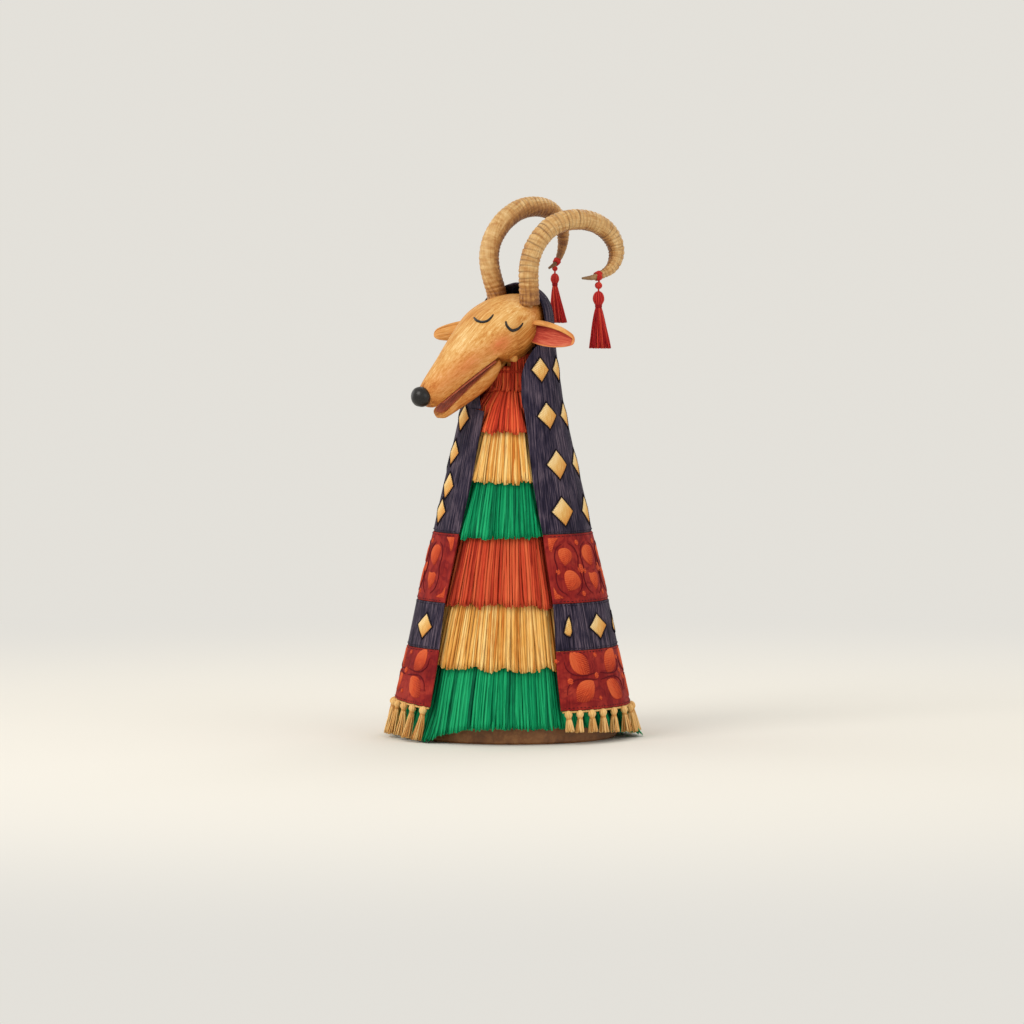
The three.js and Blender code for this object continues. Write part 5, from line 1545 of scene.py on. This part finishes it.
# ----------------------------------------------------------------- tassels
def horn_wrap(name, pts, t0, t1, node, turns=4, extra=0.45):
    c, s = catmull(horn_line(pts), 400)
    N, B, T = frames(c, (0, 1, 0))
    r = pchip(np.linspace(0, 1, len(RADII)), RADII, s / s[-1])
    acc = Acc()
    u = np.linspace(0, 1, 40 * turns)
    q = (t0 + (t1 - t0) * u) * 400
    i = np.clip(q.astype(int), 0, 399)
    ph = u * turns * 2 * PI
    cc = c[i] + (c[np.minimum(i + 1, 400)] - c[i]) * (q - i)[:, None]
    line = cc + (r[i] + extra)[:, None] * (np.cos(ph)[:, None] * N[i] + np.sin(ph)[:, None] * B[i])
    tube(acc, head_to_world(line), 0.8, 7, rnd=0.5)
    done(acc.build(name, M["tassel"]), "head", "tassel_red", node)


horn_wrap("horn_wrap_left", HORN_L, 0.906, 0.93, "horn_cord_left")
horn_wrap("horn_wrap_right", HORN_R, 0.936, 0.958, "horn_cord_right")


def tassel_set(side, hang, z_knot, k_r, z_head, h_r, z_neck, z_end, s_r, top, n, seed, lean):
    x, y = head_to_world([hang[0], hang[1], 0.0])[:2]

    def mtx(p):
        return np.asarray(p, float) + np.array([x, y, 0.0])
    # knot: two crossed wraps and the cord end that ties it to the horn
    acc = Acc()
    t = np.linspace(0, 2 * PI, 40, endpoint=False)
    for k, (ax, tilt) in enumerate(((0, 0.5), (1, -0.6), (2, 1.3), (0, 1.9))):
        ring = np.stack([k_r * 0.72 * np.cos(t), k_r * 0.72 * np.sin(t), 0 * t], -1)
        ct, st = math.cos(tilt), math.sin(tilt)
        if ax == 0:
            ring = np.stack([ring[:, 0], ring[:, 1] * ct, ring[:, 1] * st], -1)
        elif ax == 1:
            ring = np.stack([ring[:, 0] * ct, ring[:, 1], ring[:, 0] * st], -1)
        else:
            ring = np.stack([ring[:, 0] * ct, ring[:, 0] * st, ring[:, 1]], -1)
        tube(acc, mtx(ring + [0, 0, z_knot]), k_r * 0.42, 8, True, rnd=0.4 + 0.15 * k, up=(0.3, 0.2, 0.9))
    tube(acc, mtx(np.stack([0.5 * np.sin(np.linspace(0, 3, 12)), 0 * np.arange(12.0), np.linspace(z_knot + k_r * 0.5, top, 12)], -1)), 1.15, 7, rnd=0.5)
    body = f"knot_{side}"
    done(acc.build(f"knot_{side}_cord", M["tassel"]), body, "tassel_red", f"tassel_knot_{side}")
    # head: yarns drawn over a core, bound at the neck
    acc = Acc()
    prof = [(0.02, h_r * 1.35), (h_r * 0.42, h_r * 1.22), (h_r * 0.78, h_r * 0.8), (h_r * 0.95, h_r * 0.2), (h_r * 0.95, -h_r * 0.3), (h_r * 0.78, -h_r * 0.75)]
    nz = z_neck - z_head
    prof += [(h_r * 0.5, nz + 1.6), (h_r * 0.44, nz + 0.2), (0.02, nz)]
    prof = np.array(prof)
    q, _ = catmull(np.concatenate([prof, 0 * prof[:, :1]], 1), 30)
    turned_piece(acc, np.stack([np.maximum(q[:, 0], 0.02), q[:, 1] + z_head], -1), 60, mtx, rnd=0.45, ridge=0.08, nridge=13, swirl=1.2)
    for k in range(4):
        rr = h_r * 0.46 + 0.5
        tube(acc, mtx(np.stack([rr * np.cos(t), rr * np.sin(t), z_neck + 0.4 + 1.15 * k + 0.2 * np.sin(t)], -1)), 0.72, 6, True, rnd=0.15)
    tube(acc, mtx(np.stack([0 * np.arange(8.0), 0 * np.arange(8.0), np.linspace(z_head + h_r * 1.2, z_knot - k_r * 0.6, 8)], -1)), 1.0, 7, rnd=0.5)
    done(acc.build(f"tassel_{side}_head", M["tassel"]), f"tassel_{side}", "tassel_red", f"tassel_head_{side}")
    acc = Acc()
    skirt(acc, mtx, h_r * 0.44, s_r, z_neck + 0.6, z_end, n, 1.25, seed, segs=10, bell=0.82, lean=lean, rag=1.1)
    # solid heart so that the bunch is full
    u = np.linspace(0, 1, 12)
    heart = np.stack([np.maximum(0.05, (h_r * 0.3 + (s_r * 0.8 - h_r * 0.3) * u ** 0.85) * np.where(u > 0.98, 0.0, 1)), z_neck + (z_end + 3 - z_neck) * u], -1)

    def mtl(p):
        p = np.asarray(p, float)
        U = np.clip((z_neck - p[..., 2]) / (z_neck - z_end), 0, 1) ** 1.4
        return mtx(p + np.stack([lean[0] * U, lean[1] * U, 0 * U], -1))
    # painted shade: the heart takes the dark end of the yarn colours, inside the bunch
    turned_piece(acc, heart, 40, mtl, rnd=0.2, ridge=0.05, nridge=13)
    done(acc.build(f"tassel_{side}_yarns", M["tassel"]), f"tassel_{side}", "tassel_red", f"tassel_skirt_{side}")


tassel_set("left", (-82.8, 48), 498.4, 3.7, 484, 6.2, 474.5, 428.5, 12.0, 505.0, 120, 31, (1.6, 0.3))
tassel_set("right", (-87, -37), 516.5, 2.8, 505.0, 4.7, 497.5, 455.5, 9.4, 520.5, 100, 32, (4.4, 0.8))


# ------------------------------------------------------------ neck ruff
def make_ruff():
    g = np.random.default_rng(15)
    acc = Acc()
    th = np.linspace(0, 2 * PI, 160, endpoint=False)
    Z = np.array([386.5, 398, 409, 410, 398, 388])[:, None] + 0 * th[None]
    R = np.array([28.5, 27.2, 25.6, 23.2, 22.8, 22.8])[:, None] + 0 * th[None]
    rings = np.stack([R * np.cos(th), R * np.sin(th), Z], -1)
    loops(acc, rings, True, rnd=np.full(rings.shape[0] * 160, 0.3), pc=np.stack([th[None] * 25 + 0 * Z, Z, 0 * Z], -1).reshape(-1, 3))
    for layer, off in enumerate((1.6, 0.8, 0.0)):
        N = 90
        t = (np.arange(N) + g.uniform(0, 1, N)) / N * 2 * PI
        phi = np.abs(((t - YAW + PI) % (2 * PI)) - PI)
        zt = np.where(phi < math.radians(50), 409.0, 424.0) - g.uniform(0, 1.5, N)
        strands(acc, t, zt, 381.5 + g.uniform(0, 2.5, N), lambda Z, TH, U, off=off: (np.interp(Z, [380, 388, 400, 414, 425], [35.8, 30.3, 28.2, 26.4, 25.0]) - off, 0),
                g.uniform(1.8, 3.2, N), 0.6, segs=8, sway=0.8, twist=0.3, tip=0.4, seed=60 + layer)
    t = np.linspace(0, 2 * PI, 120, endpoint=False)
    for z in (403.0, 404.6):
        rope(acc, np.stack([28.5 * np.cos(t), 28.5 * np.sin(t), z + 0 * t], -1), 0.8, closed=True, pitch=4, sides=5, rnd=0.2)
    return done(acc.build("neck_ruff_strands", M["red"]), "head", "raffia_red", "neck_ruff_red")


make_ruff()

# ------------------------------------------------ carried-over CAD nodes
CARRY = {"base_disc": "basewood", "post_collar": "basewood", "pull_knob": "basewood", "post": "dowel", "neck_bush": "dowel",
         "neck_block": "dowel", "horn_peg_left": "dowel", "horn_peg_right": "dowel", "jaw_pin": "steel", "pull_rod": "steel", "rod_cap": "steel"}
for node, key in CARRY.items():
    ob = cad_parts[node]
    ob.data.materials.clear()
    ob.data.materials.append(M[key])

# ---------------------------------------------------- pieces sewn on each cloth band, listed and not used
for name, (ob, ar, w, l) in bands.items():
    extra = {"band_navy_lower": ["diamonds_lower", "diamond_cords_lower"], "band_red_lower": [n + "_yarn" for n in fringes], "band_red_upper": []}[name]
    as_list(extra)


# ------------------------------------------------------- floor and light
WORLD = col(236, 233, 226)
WSTR = 0.92


def setup_stage():
    w = bpy.data.worlds.new("studio")
    bpy.context.scene.world = w
    w.use_nodes = True
    bg = w.node_tree.nodes["Background"]
    bg.inputs[0].default_value = WORLD
    bg.inputs[1].default_value = WSTR
    a = np.linspace(0, 2 * PI, 96, endpoint=False)
    rad = [0.0, 0.3, 0.8, 2.0, 6.0, 40.0]
    v = [[0, 0, -0.0003]] + [[r * math.cos(x), r * math.sin(x), -0.0003] for r in rad[1:] for x in a]
    f = [[0, 1 + j, 1 + (j + 1) % 96] for j in range(96)]
    for k in range(len(rad) - 2):
        o = 1 + k * 96
        f += [[o + j, o + 96 + j, o + 96 + (j + 1) % 96, o + (j + 1) % 96] for j in range(96)]
    me = bpy.data.meshes.new("floor")
    me.from_pydata(v, [], f)
    ob = bpy.data.objects.new("floor", me)
    bpy.context.scene.collection.objects.link(ob)
    m = Mat("floor_paper", rough=0.9, spec=0.1)
    m.b.inputs["Base Color"].default_value = col(232, 229, 222)
    em = m.new("ShaderNodeEmission")
    em.inputs[0].default_value = WORLD
    em.inputs[1].default_value = WSTR
    pos = m.new("ShaderNodeNewGeometry").outputs["Position"]
    ln = m.new("ShaderNodeVectorMath")
    ln.operation = "LENGTH"
    m.t.links.new(pos, ln.inputs[0])
    rng = m.new("ShaderNodeMapRange")
    rng.interpolation_type = "SMOOTHSTEP"
    m.t.links.new(ln.outputs["Value"], rng.inputs[0])
    rng.inputs[1].default_value, rng.inputs[2].default_value = 0.45, 1.9
    mx = m.new("ShaderNodeMixShader")
    m.t.links.new(rng.outputs[0], mx.inputs[0])
    m.t.links.new(m.b.outputs[0], mx.inputs[1])
    m.t.links.new(em.outputs[0], mx.inputs[2])
    m.t.links.new(mx.outputs[0], m.out.inputs[0])
    me.materials.append(m.m)

    def area(name, loc, power, size, color=(1, 1, 1)):
        from mathutils import Vector
        d = bpy.data.lights.new(name, "AREA")
        d.energy, d.size, d.color = power, size, color
        o = bpy.data.objects.new(name, d)
        bpy.context.scene.collection.objects.link(o)
        o.location = loc
        o.rotation_mode = "QUATERNION"
        o.rotation_quaternion = (Vector((0, 0, 0.25)) - Vector(loc)).to_track_quat("-Z", "Y")
    area("key", (-1.5, -2.2, 2.3), 42, 1.6, (1.0, 0.97, 0.92))
    area("fill", (2.3, -1.6, 1.2), 12, 2.0, (0.95, 0.97, 1.0))
    area("back", (0.6, 2.4, 1.9), 14, 1.6)
    area("side", (-2.4, 0.9, 1.0), 7, 1.6)
    bpy.context.scene.view_settings.view_transform = "Standard"


setup_stage()
